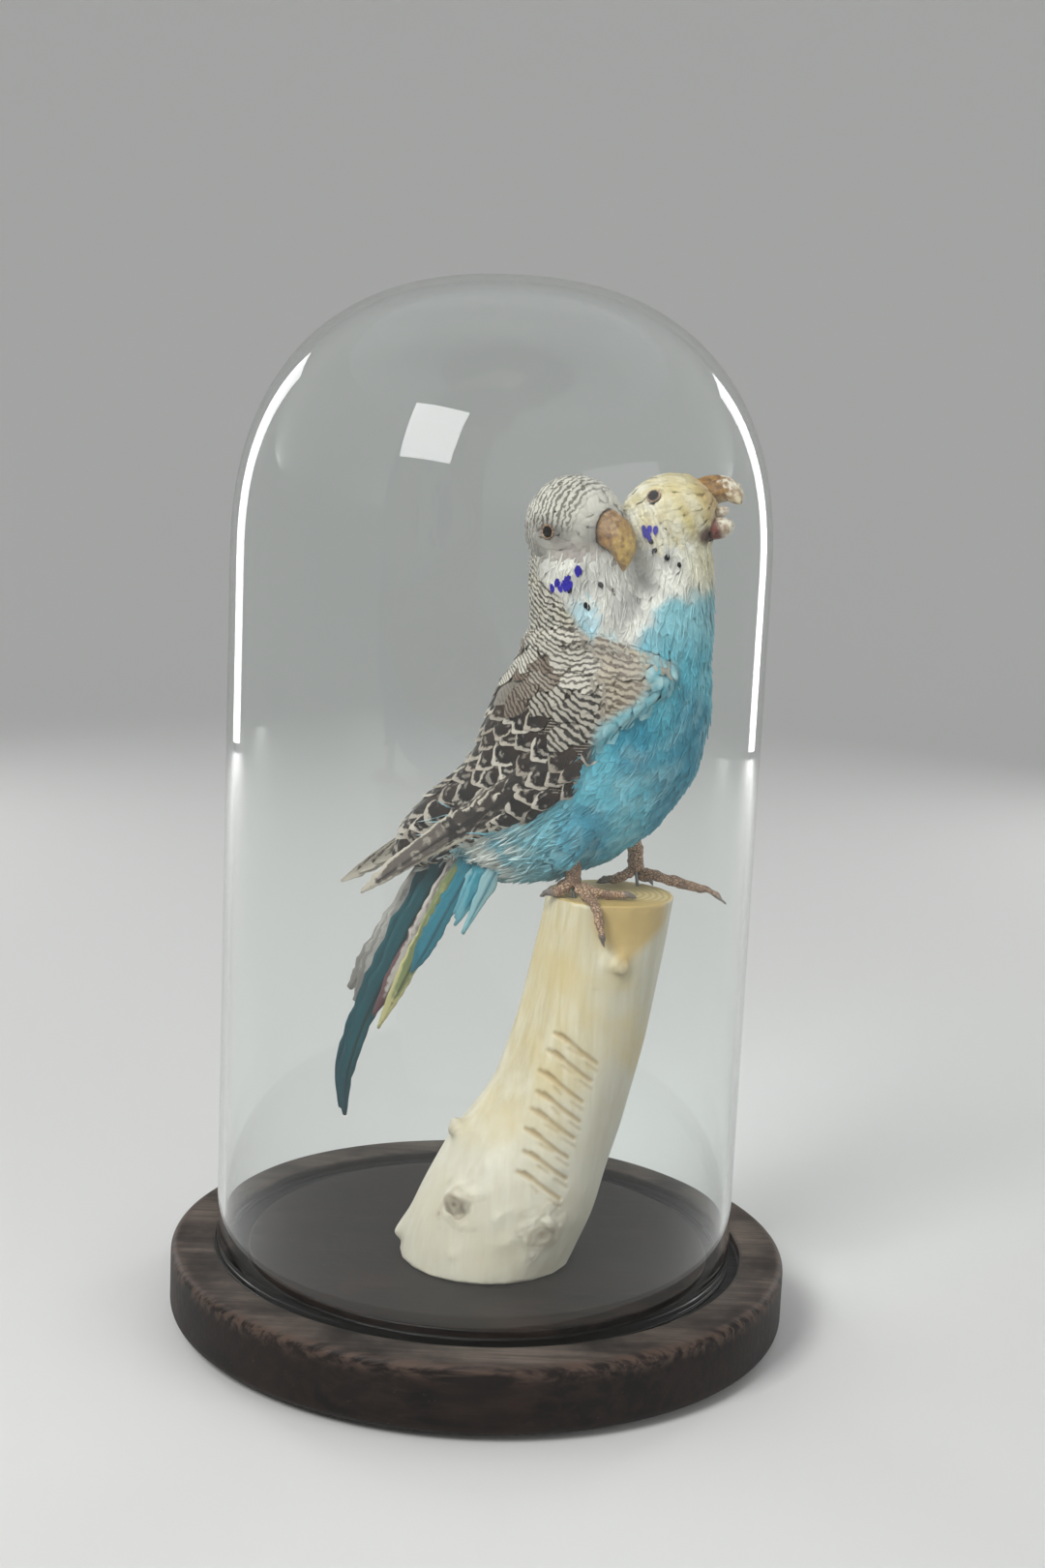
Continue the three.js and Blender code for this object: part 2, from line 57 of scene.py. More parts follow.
# Each head's middle, and the way its bill points.
HEADS = {
    "rear": (np.array([18.5, -11.0, 232.5]), np.array([0.743, -0.666, -0.07])),
    "front": (np.array([45.0, -3.0, 235.3]), np.array([0.906, 0.0, 0.423])),
}


# ---------------------------------------------------------------- camera, floor and light
def set_camera():
    pitch, roll = math.radians(9.408), math.radians(2.539)
    aim, distance = Vector((7.19, 0, 158.2)) * MM, 0.6235
    look = Vector((0, math.cos(pitch), -math.sin(pitch)))
    level = Vector((1, 0, 0))
    up = level.cross(look)
    right = math.cos(roll) * level + math.sin(roll) * up
    top = math.cos(roll) * up - math.sin(roll) * level
    data = bpy.data.cameras.new("camera")
    data.lens = 50
    data.sensor_width = 36
    data.clip_start = 0.01
    camera = new_object("camera", data)
    rotation = Matrix((right, top, -look)).transposed().to_4x4()
    camera.matrix_world = Matrix.Translation(aim - look * distance) @ rotation
    scene.camera = camera


def area_light(name, place, width, height, power):
    """A rectangular lamp that shines at the part and isn't seen through the glass."""
    data = bpy.data.lights.new(name, "AREA")
    data.energy = power
    data.shape = "RECTANGLE"
    data.size = width
    data.size_y = height
    lamp = new_object(name, data)
    aim = Vector((0, 0, 0.14))
    lamp.location = place
    lamp.rotation_euler = (aim - Vector(place)).to_track_quat("-Z", "Y").to_euler()
    lamp.visible_transmission = False


def studio_light():
    """A soft key from the front left, a weak fill, and two strips that edge the glass from behind."""
    area_light("key", (-0.55, -0.8, 0.95), 0.45, 0.45, 9.5)
    area_light("fill", (0.9, -0.7, 0.4), 0.7, 0.7, 2.8)
    area_light("strip_left", (-0.7, 0.75, 0.35), 0.2, 0.7, 1.8)
    area_light("strip_right", (0.7, 0.85, 0.35), 0.2, 0.7, 1.8)
    world = bpy.data.worlds.new("studio")
    world.use_nodes = True
    sky = world.node_tree.nodes["Background"].inputs
    sky["Color"].default_value = (0.82, 0.84, 0.86, 1)
    sky["Strength"].default_value = 0.5
    scene.world = world
    scene.view_settings.view_transform = "Standard"


def linear(code):
    """A colour like "8a6f52" as linear red, green and blue."""
    parts = np.array([int(code[i : i + 2], 16) / 255 for i in (0, 2, 4)])
    return np.where(parts <= 0.04045, parts / 12.92, ((parts + 0.055) / 1.055) ** 2.4)


# ---------------------------------------------------------------- materials
class Look:
    """A material around one Principled shader, with short helpers for its nodes."""

    def __init__(self, name, color="808080", roughness=0.6, **sockets):
        self.material = bpy.data.materials.new(name)
        self.material.use_nodes = True
        self.tree = self.material.node_tree
        self.shader = self.tree.nodes["Principled BSDF"]
        self.shader.inputs["Base Color"].default_value = (*linear(color), 1)
        self.shader.inputs["Roughness"].default_value = roughness
        for key, value in sockets.items():
            self.shader.inputs[key.replace("_", " ")].default_value = value

    def node(self, kind, settings=None, **inputs):
        node = self.tree.nodes.new("ShaderNode" + kind)
        for key, value in (settings or {}).items():
            setattr(node, key, value)
        for key, value in inputs.items():
            self.feed(node.inputs[key.replace("_", " ")], value)
        return node

    def feed(self, socket, value):
        if isinstance(value, bpy.types.NodeSocket):
            self.tree.links.new(value, socket)
        elif isinstance(value, str):
            socket.default_value = (*linear(value), 1)
        else:
            socket.default_value = value

    def math(self, operation, *values):
        node = self.node("Math", {"operation": operation})
        for socket, value in zip(node.inputs, values):
            self.feed(socket, value)
        return node.outputs[0]

    def plus(self, a, b):
        return self.math("ADD", a, b)

    def minus(self, a, b):
        return self.math("SUBTRACT", a, b)

    def times(self, a, b):
        return self.math("MULTIPLY", a, b)

    def distance(self, a, b):
        return self.math("SQRT", self.plus(self.times(a, a), self.times(b, b)))

    def swing(self, noise, reach):
        """A noise from 0 to 1 made to swing about 0."""
        return self.times(self.minus(noise, 0.5), reach)

    def attribute(self, name, output="Fac"):
        return self.node("Attribute", {"attribute_name": name}).outputs[output]

    def place(self, scale=(1, 1, 1), rotation=(0, 0, 0)):
        """Object coordinates in millimetres, stretched."""
        raw = self.node("TexCoord").outputs["Object"]
        mapping = self.node("Mapping", Vector=raw)
        mapping.inputs["Scale"].default_value = [METRE * s for s in scale]
        mapping.inputs["Rotation"].default_value = rotation
        return mapping.outputs[0]

    def noise(self, scale, detail=3.0, at=None, rough=0.55, distortion=0.0):
        node = self.node("TexNoise", Vector=at or self.place(), Scale=scale, Detail=detail)
        node.inputs["Roughness"].default_value = rough
        node.inputs["Distortion"].default_value = distortion
        return node.outputs["Fac"]

    def ramp(self, value, low, high):
        """0 below low and 1 above high, smoothly."""
        node = self.node("MapRange", {"interpolation_type": "SMOOTHSTEP"}, Value=value)
        node.inputs["From Min"].default_value = low
        node.inputs["From Max"].default_value = high
        return node.outputs[0]

    def mix(self, share, a, b, blend="MIX"):
        node = self.node("Mix", {"data_type": "RGBA", "blend_type": blend})
        self.feed(node.inputs[0], share)
        self.feed(node.inputs[6], a)
        self.feed(node.inputs[7], b)
        return node.outputs[2]

    def tinge(self, color, value, low, high, strength, tone):
        """A colour with some of another tone where value rises from low to high."""
        return self.mix(self.times(self.ramp(value, low, high), strength), color, tone)

    def bump(self, height, strength, distance):
        node = self.node("Bump", Height=height, Strength=strength)
        node.inputs["Distance"].default_value = distance * MM
        self.tree.links.new(node.outputs[0], self.shader.inputs["Normal"])

    def paint(self, color=None, roughness=None):
        if color is not None:
            self.feed(self.shader.inputs["Base Color"], color)
        if roughness is not None:
            self.feed(self.shader.inputs["Roughness"], roughness)
        return self.material


def glass_look():
    look = Look("dome_glass", "fafcfb", 0.0, Transmission_Weight=1.0, IOR=1.38)
    clear = look.node("BsdfTransparent")
    clear.inputs["Color"].default_value = (0.97, 0.985, 0.98, 1)
    mix = look.node("MixShader")
    path = look.node("LightPath")
    look.tree.links.new(path.outputs["Is Shadow Ray"], mix.inputs[0])
    look.tree.links.new(look.shader.outputs[0], mix.inputs[1])
    look.tree.links.new(clear.outputs[0], mix.inputs[2])
    look.tree.links.new(mix.outputs[0], look.tree.nodes["Material Output"].inputs[0])
    return look.material


def stained_wood_look():
    look = Look("stained_wood", "1d1613", 0.55)
    look.shader.inputs["Specular IOR Level"].default_value = 0.3
    x, y, z = look.node("SeparateXYZ", Vector=look.place()).outputs
    radius = look.distance(x, y)
    grain = look.noise(1.0, 6.0, look.place((0.03, 0.55, 0.35)), 0.6, 0.4)
    pores = look.noise(1.0, 3.0, look.place((0.1, 2.6, 1.6)), 0.7)
    blotch = look.noise(0.045, 4.0)
    wander = look.times(look.noise(0.035, 0.0), 16.0)
    lathe = look.math("SINE", look.plus(look.times(radius, 1.7), wander))
    rings = look.times(look.plus(lathe, 1.0), 0.5)
    base = look.mix(look.ramp(grain, 0.38, 0.68), "0e0a09", "241a16")
    base = look.tinge(base, pores, 0.55, 0.7, 0.6, "070505")
    base = look.tinge(base, blotch, 0.52, 0.72, 0.4, "33211b")
    # The raised ring outside the groove is worn paler than the rest.
    top = look.times(look.ramp(z, 20.2, 21.3), look.ramp(radius, 76.5, 78.5))
    worn = look.mix(look.ramp(grain, 0.35, 0.7), "483e38", "6c6058")
    base = look.mix(look.times(top, look.ramp(blotch, 0.25, 0.7)), base, worn)
    base = look.mix(look.times(rings, 0.08), base, "4a3b33")
    edge = look.times(look.ramp(radius, 86.6, 89.4), look.ramp(z, 15.5, 20.5))
    base = look.mix(look.times(edge, look.ramp(grain, 0.4, 0.62)), base, "54443b")
    scuff = look.noise(1.0, 5.0, look.place((0.25, 0.9, 0.5), (0, 0, 0.5)), 0.75)
    base = look.tinge(base, scuff, 0.65, 0.72, 0.3, "766a60")
    base = look.tinge(base, look.noise(1.3, 2.0, None, 0.9), 0.75, 0.8, 0.3, "8d857b")
    # Painted shade: the groove between the raised ring and the deck is darkened almost to black, most below
    # the deck's level.
    inside = look.times(look.ramp(radius, 77.6, 77.0), look.ramp(radius, 67.2, 67.8))
    base = look.mix(look.times(inside, look.ramp(z, 21.2, 19.0)), base, "090706")
    height = look.plus(look.times(grain, 0.9), look.times(rings, 0.1))
    look.bump(height, 0.35, 0.3)
    rough = look.plus(look.times(grain, 0.3), 0.42)
    return look.paint(base, rough)


def felt_look():
    look = Look("felt", "17181a", 0.95)
    fuzz = look.noise(2.5, 5.0, None, 0.8)
    look.bump(fuzz, 0.8, 0.3)
    return look.paint(look.mix(look.ramp(fuzz, 0.35, 0.7), "101113", "2a2c30"))


def peeled_wood_look():
    look = Look("peeled_wood", "e6dcc2", 0.55)
    at = look.place()
    x, y, z = look.node("SeparateXYZ", Vector=at).outputs
    along = look.place((0.34, 0.34, 0.035), (0, -0.22, 0))
    streak = look.noise(1.0, 5.0, along, 0.6, 0.3)
    fine = look.noise(1.0, 4.0, look.place((1.6, 1.6, 0.09), (0, -0.22, 0)), 0.7)
    patch = look.noise(0.05, 3.0)
    color = look.mix(look.ramp(streak, 0.3, 0.72), "e6dcc0", "d0c097")
    color = look.tinge(color, x, 18.0, 42.0, 0.5, "c9cbc4")
    color = look.tinge(color, patch, 0.42, 0.66, 0.6, "d3bd84")
    color = look.tinge(color, fine, 0.58, 0.76, 0.22, "ab9767")
    color = look.tinge(color, look.plus(z, look.times(patch, 60.0)), 125.0, 75.0, 0.6, "dbd8cd")
    # The sawn top is yellower, with faint growth rings.
    dx = look.minus(x, 33.0)
    dy = look.plus(y, 8.0)
    radius = look.distance(dx, dy)
    ring = look.math("SINE", look.times(look.plus(radius, look.times(patch, 3.0)), 3.4))
    sawn = look.mix(look.ramp(ring, -0.6, 0.9), "dcc893", "c7ab6c")
    color = look.mix(look.ramp(z, 129.0, 129.3), color, sawn)
    color = look.mix(look.attribute("scar"), color, "c9a964")
    # stain darkens the tool scores as painted shade, and the knots as their own darker wood.
    color = look.mix(look.attribute("stain"), color, "76562c")
    color = look.mix(1.0, color, "e2e2e2", "MULTIPLY")
    look.bump(look.plus(streak, look.times(fine, 0.4)), 0.25, 0.35)
    return look.paint(color, look.plus(look.times(streak, 0.2), 0.42))


def plumage_look(name="plumage", roughness=0.75):
    """Feathers. tint and mark are each feather's two colours; scallop, bars and wave say where mark shows."""
    look = Look(name, "8fb6c0", roughness, Sheen_Weight=0.12, Sheen_Roughness=0.5)
    look.shader.inputs["Specular IOR Level"].default_value = 0.2
    tint, mark = look.attribute("tint", "Color"), look.attribute("mark", "Color")
    wave = look.attribute("wave")
    uv = look.node("UVMap", {"uv_map": "vane"}).outputs[0]
    u, v, _ = look.node("SeparateXYZ", Vector=uv).outputs
    across = look.times(look.math("ABSOLUTE", look.minus(u, 0.5)), 2.0)
    tip = look.math("MAXIMUM", look.math("DIVIDE", look.minus(v, 0.3), 0.7), 0.0)
    square = look.plus(look.times(look.times(across, across), 0.5), look.times(tip, tip))
    barbs = look.node("CombineXYZ", X=look.times(u, 9.0), Y=look.times(v, 2.4), Z=wave)
    fray = look.noise(1.0, 2.0, barbs.outputs[0])
    ragged = look.plus(look.swing(look.noise(0.7, 1.0), 0.3), look.swing(fray, 0.3))
    reach = look.plus(look.math("SQRT", square), ragged)
    margin = look.ramp(reach, 0.7, 0.82)
    ring = look.times(look.ramp(reach, 0.34, 0.44), look.ramp(reach, 0.6, 0.5))
    ring = look.times(ring, look.times(look.ramp(look.noise(0.3, 1.0), 0.5, 0.6), 0.55))
    scallops = look.times(look.math("MAXIMUM", margin, ring), look.attribute("scallop"))
    wander = look.plus(look.swing(look.noise(0.2, 2.0), 9.0), look.swing(look.noise(0.75, 1.0), 5.5))
    phase = look.plus(look.times(wave, TAU), wander)
    bars = look.times(look.ramp(look.math("SINE", phase), -0.2, 0.6), look.attribute("bars"))
    color = look.mix(look.math("MAXIMUM", scallops, bars), tint, mark)
    barb = look.math("SINE", look.times(look.minus(v, look.times(across, 0.35)), 95.0))
    shade = look.plus(look.times(barb, 0.06), 0.94)
    shade = look.times(shade, look.plus(look.times(fray, 0.3), 0.85))
    grey = look.node("CombineColor", Red=shade, Green=shade, Blue=shade).outputs[0]
    color = look.mix(1.0, color, grey, "MULTIPLY")
    look.bump(barb, 0.25, 0.06)
    return look.paint(color)


def horn_look(name, roughness):
    """Bill horn: its colour comes with the mesh, under fine flakes and growth lines."""
    look = Look(name, "c79440", roughness)
    tint = look.attribute("tint", "Color")
    shade = look.noise(0.6, 4.0, None, 0.65)
    flakes = look.ramp(look.noise(1.7, 3.0, None, 0.7), 0.56, 0.7)
    dark = look.mix(1.0, tint, "a98a72", "MULTIPLY")
    color = look.mix(look.ramp(shade, 0.42, 0.66), tint, dark)
    color = look.mix(look.times(flakes, 0.35), color, "e3d6b8")
    look.bump(look.plus(shade, look.times(flakes, 0.4)), 0.5, 0.3)
    return look.paint(color)


def scaled_look():
    look = Look("scaled_skin", "8e7768", 0.55)
    at = look.place((1, 1, 1.5))
    cells = look.node("TexVoronoi", {"feature": "DISTANCE_TO_EDGE"}, Vector=at, Scale=1.1)
    edge = look.ramp(cells.outputs["Distance"], 0.02, 0.22)
    tone = look.noise(0.25, 4.0)
    color = look.mix(look.ramp(tone, 0.35, 0.7), "c9a585", "93745d")
    color = look.mix(edge, "5f4636", color)
    color = look.mix(look.attribute("end"), color, "6d645d")
    look.bump(edge, 0.7, 0.25)
    return look.paint(color)


def eye_look():
    look = Look("eye_glass", "040303", 0.08)
    look.shader.inputs["Specular IOR Level"].default_value = 0.35
    fleck = look.noise(1.2, 2.0)
    return look.paint(look.mix(look.ramp(fleck, 0.4, 0.7), "030202", "0c0705"))


# ---------------------------------------------------------------- meshes
def new_object(name, data):
    made = bpy.data.objects.new(name, data)
    scene.collection.objects.link(made)
    return made


def new_mesh(name, points, faces):
    mesh = bpy.data.meshes.new(name)
    mesh.from_pydata((np.asarray(points) * MM).tolist(), [], [tuple(map(int, f)) for f in faces])
    mesh.update()
    return mesh


def add_mesh(name, points, faces, look, slot, replaces=(), uv=None, body="base"):
    mesh = new_mesh(name, points, faces)
    if uv is not None:
        layer = mesh.uv_layers.new(name="vane")
        index = np.empty(len(mesh.loops), int)
        mesh.loops.foreach_get("vertex_index", index)
        layer.data.foreach_set("uv", uv[index].ravel().astype(np.float32))
    mesh.shade_smooth()
    return finish_piece(new_object(name, mesh), look, replaces, body)


def finish_piece(piece, look, replaces=(), body="base"):
    dress(piece, look)
    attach(piece, body)
    if replaces:
        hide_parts(*replaces)
    return piece


def dress(piece, look):
    piece.data.materials.clear()
    piece.data.materials.append(look)


def set_values(piece, key, values):
    """A number or a colour at each point."""
    values = np.asarray(values, np.float32)
    kind, field = ("FLOAT", "value") if values.ndim == 1 else ("FLOAT_COLOR", "color")
    if values.ndim == 2 and values.shape[1] == 3:
        values = np.hstack([values, np.ones((len(values), 1), np.float32)])
    layer = piece.data.attributes.new(key, kind, "POINT")
    layer.data.foreach_set(field, values.ravel())


def vectors(mesh, field):
    out = np.empty(len(mesh.vertices) * 3)
    mesh.vertices.foreach_get(field, out)
    return out.reshape(-1, 3)


def points_of(mesh):
    return vectors(mesh, "co") * METRE


def cad_mesh(node):
    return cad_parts[node].data


def box_of(node):
    """A node's lowest and highest corners at rest."""
    return [np.array(corner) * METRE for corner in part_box(node)]


def joined(meshes):
    """The points and faces of several meshes."""
    points, faces = [], []
    for mesh in meshes:
        start = sum(map(len, points))
        points.append(points_of(mesh))
        faces += [tuple(v + start for v in p.vertices) for p in mesh.polygons]
    return np.concatenate(points), faces


def tree_of(*meshes):
    points, faces = joined(meshes)
    return BVHTree.FromPolygons(points.tolist(), faces)


def node_tree(*nodes):
    return tree_of(*map(cad_mesh, nodes))


def distance(tree, points):
    return np.array([tree.find_nearest(p)[3] for p in points.tolist()])


def relaxed(mesh, points, weights, rounds=85):
    """Points drawn to the middle of their neighbours again and again, each by its weight."""
    ends = np.empty(len(mesh.edges) * 2, np.int32)
    mesh.edges.foreach_get("vertices", ends)
    a, b = ends[0::2], ends[1::2]
    total = len(points)
    degree = np.bincount(ends, minlength=total)
    for _ in range(rounds):
        sums = [np.bincount(a, points[b, k], total) + np.bincount(b, points[a, k], total) for k in range(3)]
        points = points + (np.stack(sums, 1) / degree[:, None] - points) * weights[:, None]
    return points


def remeshed(name, nodes, voxel, rounds, move=None, slack=None):
    """One fine smooth mesh over CAD nodes, as a new object that isn't yet part of anything. slack gives
    how much each point is evened out along the surface, and move then displaces the points."""
    piece = new_object(name, new_mesh(name, *joined(map(cad_mesh, nodes))))
    weld = piece.modifiers.new("weld", "WELD")
    weld.merge_threshold = 0.02 * MM
    grid = piece.modifiers.new("grid", "REMESH")
    grid.mode = "VOXEL"
    grid.voxel_size = voxel * MM
    soft = piece.modifiers.new("soft", "SMOOTH")
    soft.factor = 0.5
    soft.iterations = rounds
    shape = bpy.data.meshes.new_from_object(piece.evaluated_get(bpy.context.evaluated_depsgraph_get()))
    piece.modifiers.clear()
    piece.data = shape
    points, normals = points_of(shape), vectors(shape, "normal")
    if slack is not None:
        points = relaxed(shape, points, slack(points))
    if move is not None:
        points = move(points, normals)
    shape.vertices.foreach_set("co", (points * MM).ravel().astype(np.float32))
    shape.update()
    shape.shade_smooth()
    return piece


def lathe(outline, segments, centre_x=0.0):
    """Points and faces of an outline of (radius, height) turned round an upright axis."""
    angles = np.arange(segments) * TAU / segments
    across, along = np.cos(angles), np.sin(angles)
    rings = [np.stack([centre_x + r * across, r * along, np.full(segments, z)], 1) for r, z in outline]
    faces = []
    for start in range(0, (len(outline) - 1) * segments, segments):
        for j in range(segments):
            k = (j + 1) % segments
            faces.append((start + j, start + k, start + segments + k, start + segments + j))
    return np.concatenate(rings), faces


def arc(cx, cz, r, start, end, steps):
    """Points of an arc of an outline, from one angle to another in degrees."""
    angles = [math.radians(start + (end - start) * i / steps) for i in range(steps + 1)]
    return [(cx + r * math.cos(a), cz + r * math.sin(a)) for a in angles]


def backdrop():
    """A pale floor that curves up all round, far beyond the part."""
    reach, rise, top, level = 1300.0, 1100.0, 2400.0, -0.2
    bend = [(reach + rise * math.sin(a), rise * (1 - math.cos(a)) + level)
            for a in np.linspace(0, math.pi / 2, 16)]
    mesh = new_mesh("floor", *lathe([(0.1, level), *bend, (reach + rise, top)], 96))
    mesh.shade_smooth()
    mesh.materials.append(Look("floor", "e4e4e2", 0.9).material)
    new_object("floor", mesh)


# ---------------------------------------------------------------- dome and base
def dome():
    low, high = box_of("glass_dome")
    rim, top = low[2], high[2]
    wall, crown, power = 2.2, 80.0, 2 / 2.38
    rim_radius, shoulder_radius = 75.3, 75.9
    bead_height, bead_depth, bead_swell = 1.2, 1.15, 0.15
    foot, shoulder = rim + bead_height, top - crown

    def side(inset):
        """From the bead up over the crown to the axis, inside the outer face by inset."""
        rise = [(rim_radius - inset + (shoulder_radius - rim_radius) * t, foot + (shoulder - foot) * t)
                for t in np.linspace(0, 1, 24)[:-1]]
        cap = [((shoulder_radius - inset) * max(math.cos(a), 0) ** power,
                shoulder + (crown - inset) * math.sin(a) ** power)
               for a in np.linspace(0, math.pi / 2, 40)]
        return rise + cap[:-1] + [(0.02, cap[-1][1])]

    middle, half = rim_radius - wall / 2, wall / 2 + bead_swell
    bead = [(middle + half * math.cos(a), foot + bead_depth * math.sin(a))
            for a in np.linspace(math.pi, TAU, 12)]
    points, faces = lathe(side(wall)[::-1] + bead[1:-1] + side(0), 192, (low[0] + high[0]) / 2)
    add_mesh("dome_glass_shell", points, faces, glass_look(), "dome_glass", ["glass_dome"], body="dome")


def base():
    felt, deck, floor = 1.5, 21.5, 18.5
    outer, inner, edge = 77.3, 67.5, 90.0
    outline = (
        [(0.02, felt), (40, felt)]
        + arc(edge - 4, felt + 4, 4, -90, 0, 8)
        + arc(edge - 2.5, deck - 2.5, 2.5, 0, 90, 8)
        + arc(outer + 0.6, deck - 0.6, 0.6, 90, 180, 4)
        + arc(outer - 0.8, floor + 0.8, 0.8, 0, -90, 4)
        + arc(inner + 0.8, floor + 0.8, 0.8, -90, -180, 4)
        + arc(inner - 0.6, deck - 0.6, 0.6, 0, 90, 4)
        + [(r, deck) for r in (60, 50, 40, 30, 20, 10, 0.02)]
    )
    add_mesh("base_turning", *lathe(outline, 192), stained_wood_look(), "stained_wood", ["wood_base"])
    dress(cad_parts["felt_pad"], felt_look())


# ---------------------------------------------------------------- the limb
def score_depth(points):
    """A column of slanting tool scores down the front face, each a long cut with three short nicks."""
    x, y, z = points.T
    depth = np.zeros(len(points))

    def groove(x0, z0, dx, dz, deep, wide):
        """A straight cut from (x0, z0) that fades at its ends and sides."""
        length = math.hypot(dx, dz)
        t = ((x - x0) * dx + (z - z0) * dz) / length
        off = np.abs((z - z0) * dx - (x - x0) * dz) / length
        inside = np.clip(1 - np.maximum(0, np.abs(t - length / 2) - length / 2) / 0.9, 0, 1)
        return deep * inside * np.exp(-((off / wide) ** 2))

    rungs = 8
    for i in range(rungs):
        f = i / (rungs - 1)
        left = 21.0 - 8.4 * f**0.8 + 0.5 * math.sin(i * 2.3)
        level = 92.3 - 38.2 * f + 0.4 * math.sin(i * 1.7)
        depth += groove(left, level, 10.2, -7.7, 0.55, 0.6)
        depth += groove(left - 1.9, level + 0.2, 3.8, -1.7, 0.5, 0.62)
        depth += groove(left + 2.2, level - 3.6, 2.6 + math.cos(i * 1.3), -1.8, 0.3, 0.5)
        depth += groove(left + 7.2, level - 7.6, 3.2, -2.5, 0.25, 0.5)
    return np.minimum(depth, 0.7) * (y < -16)


# Each knot's middle and size.
KNOTS = [
    ((-9.0, -17.5, 62.5), 3.4),
    ((-6.9, -32.5, 43.5), 5.2),
    ((18.2, -33.4, 36.6), 6.4),
    ((37.4, -27.6, 112.4), 3.4),
]
FOOT, SAWN_TOP = 22.3, 128.7


def smooth_side(points):
    """The limb's side is evened out; its ends and knots keep their shape."""
    clear = step(points[:, 2], 24, 30) * step(points[:, 2], 128, 124)
    for centre, size in KNOTS:
        clear *= step(np.linalg.norm(points - centre, axis=1), size * 0.8, size * 1.6)
    return clear * 0.95


def carved(points, normals):
    """Low ridges, knots, a hollow below the sawn top, and the tool scores."""
    x, y, z = points.T
    wall = (z > FOOT) & (z < SAWN_TOP)
    angle = np.arctan2(y + 10, x - 0.27 * (z - 20))
    rise = 0.16 * np.sin(5 * angle + 0.03 * z) + 0.05 * np.sin(13 * angle + 0.06 * z + 1)
    rise += 0.5 * (cloud(points * [1, 1, 0.4], 14, 30) - 0.5)
    out = points + normals * (rise * wall)[:, None]
    # A branch stub is a low mound with ringed grain and a sunken middle.
    for centre, size in KNOTS:
        away = np.linalg.norm(points - centre, axis=1) / size
        away = away * (0.7 + 0.6 * cloud(points, 7, 32))
        mound = np.exp(-((away / 1.25) ** 2)) - 1.4 * np.exp(-((away / 0.45) ** 2))
        grain = 0.1 * np.sin(away * 11 + 5 * cloud(points, 4, 31)) * np.exp(-((away / 1.3) ** 4))
        out += normals * ((mound + grain) * wall)[:, None]
    hollow = np.exp(-(((x - 36) / 7) ** 2 + ((z - 119) / 7) ** 2)) * (y < -18)
    return out - normals * ((1.1 * hollow + score_depth(points)) * wall)[:, None]


def limb():
    piece = remeshed("limb_wood", ["perch_limb"], 0.52, 10, carved, smooth_side)
    points = points_of(piece.data)
    finish_piece(piece, peeled_wood_look(), ["perch_limb"])
    x, y, z = points.T
    scored = score_depth(points)
    # A wedge of yellower wood runs down the front from the sawn top.
    wedge = np.clip((z - (111 + 0.9 * np.abs(x - 38))) / 4, 0, 1)
    wedge = wedge * np.clip(1 - (np.abs(x - 39) - 8) / 4, 0, 1) * (y < -16)
    set_values(piece, "scar", np.maximum(wedge * 0.85, np.clip(scored * 0.9, 0, 0.5)))
    # Painted shade lies in the scores, and the wood round and inside the knots is stained darker.
    stain = 0.34 * np.clip(scored * 1.6, 0, 1)
    for (centre, size), strength in zip(KNOTS, (0.35, 0.8, 0.55, 0.35)):
        away = np.linalg.norm(points - centre, axis=1) * (0.6 + 0.8 * cloud(points, 6, 33))
        stain += strength * np.exp(-((away / (size * 0.75)) ** 2)) * (0.7 + 0.3 * np.cos(away * 2.4))
    set_values(piece, "stain", np.clip(stain, 0, 1))


# ---------------------------------------------------------------- plumage
def scatter(mesh, spacing, keep, seed):
    """Evenly spread points on a mesh, and their normals. spacing and keep are functions of points."""
    rand = np.random.default_rng(seed)
    mesh.calc_loop_triangles()
    points = points_of(mesh)
    tris = np.empty(len(mesh.loop_triangles) * 3, int)
    mesh.loop_triangles.foreach_get("vertices", tris)
    tris = tris.reshape(-1, 3)
    a, b, c = points[tris[:, 0]], points[tris[:, 1]], points[tris[:, 2]]
    cross = np.cross(b - a, c - a)
    area = np.linalg.norm(cross, axis=1) / 2
    least, tries = spacing(points).min(), 3.2
    count = int(area.sum() / least**2 * tries)
    pick = rand.choice(len(tris), count, p=area / area.sum())
    u, v = rand.random(count), rand.random(count)
    flip = u + v > 1
    u[flip], v[flip] = 1 - u[flip], 1 - v[flip]
    place = a[pick] + (b - a)[pick] * u[:, None] + (c - a)[pick] * v[:, None]
    normal = cross[pick] / (2 * area[pick])[:, None]
    good = keep(place)
    place, normal = place[good], normal[good]
    # A place is taken when no earlier one lies within its gap. Only the cells round it have to be searched.
    gap = spacing(place)
    taken, chosen, cell = {}, [], gap.max()
    for i, (p, s) in enumerate(zip(place.tolist(), gap.tolist())):
        key = tuple(int(q // cell) for q in p)
        near = (
            other
            for dx in (-1, 0, 1)
            for dy in (-1, 0, 1)
            for dz in (-1, 0, 1)
            for other in taken.get((key[0] + dx, key[1] + dy, key[2] + dz), ())
        )
        if all((p[0] - o[0]) ** 2 + (p[1] - o[1]) ** 2 + (p[2] - o[2]) ** 2 > s * s for o in near):
            taken.setdefault(key, []).append(p)
            chosen.append(i)
    return place[chosen], normal[chosen]


def unit(v):
    return v / np.maximum(np.linalg.norm(v, axis=-1, keepdims=True), 1e-9)


FEATHER_VALUES = ("tint", "mark", "scallop", "bars", "wave")


def set_feather_values(piece, values):
    for key, value in zip(FEATHER_VALUES, values):
        set_values(piece, key, value)


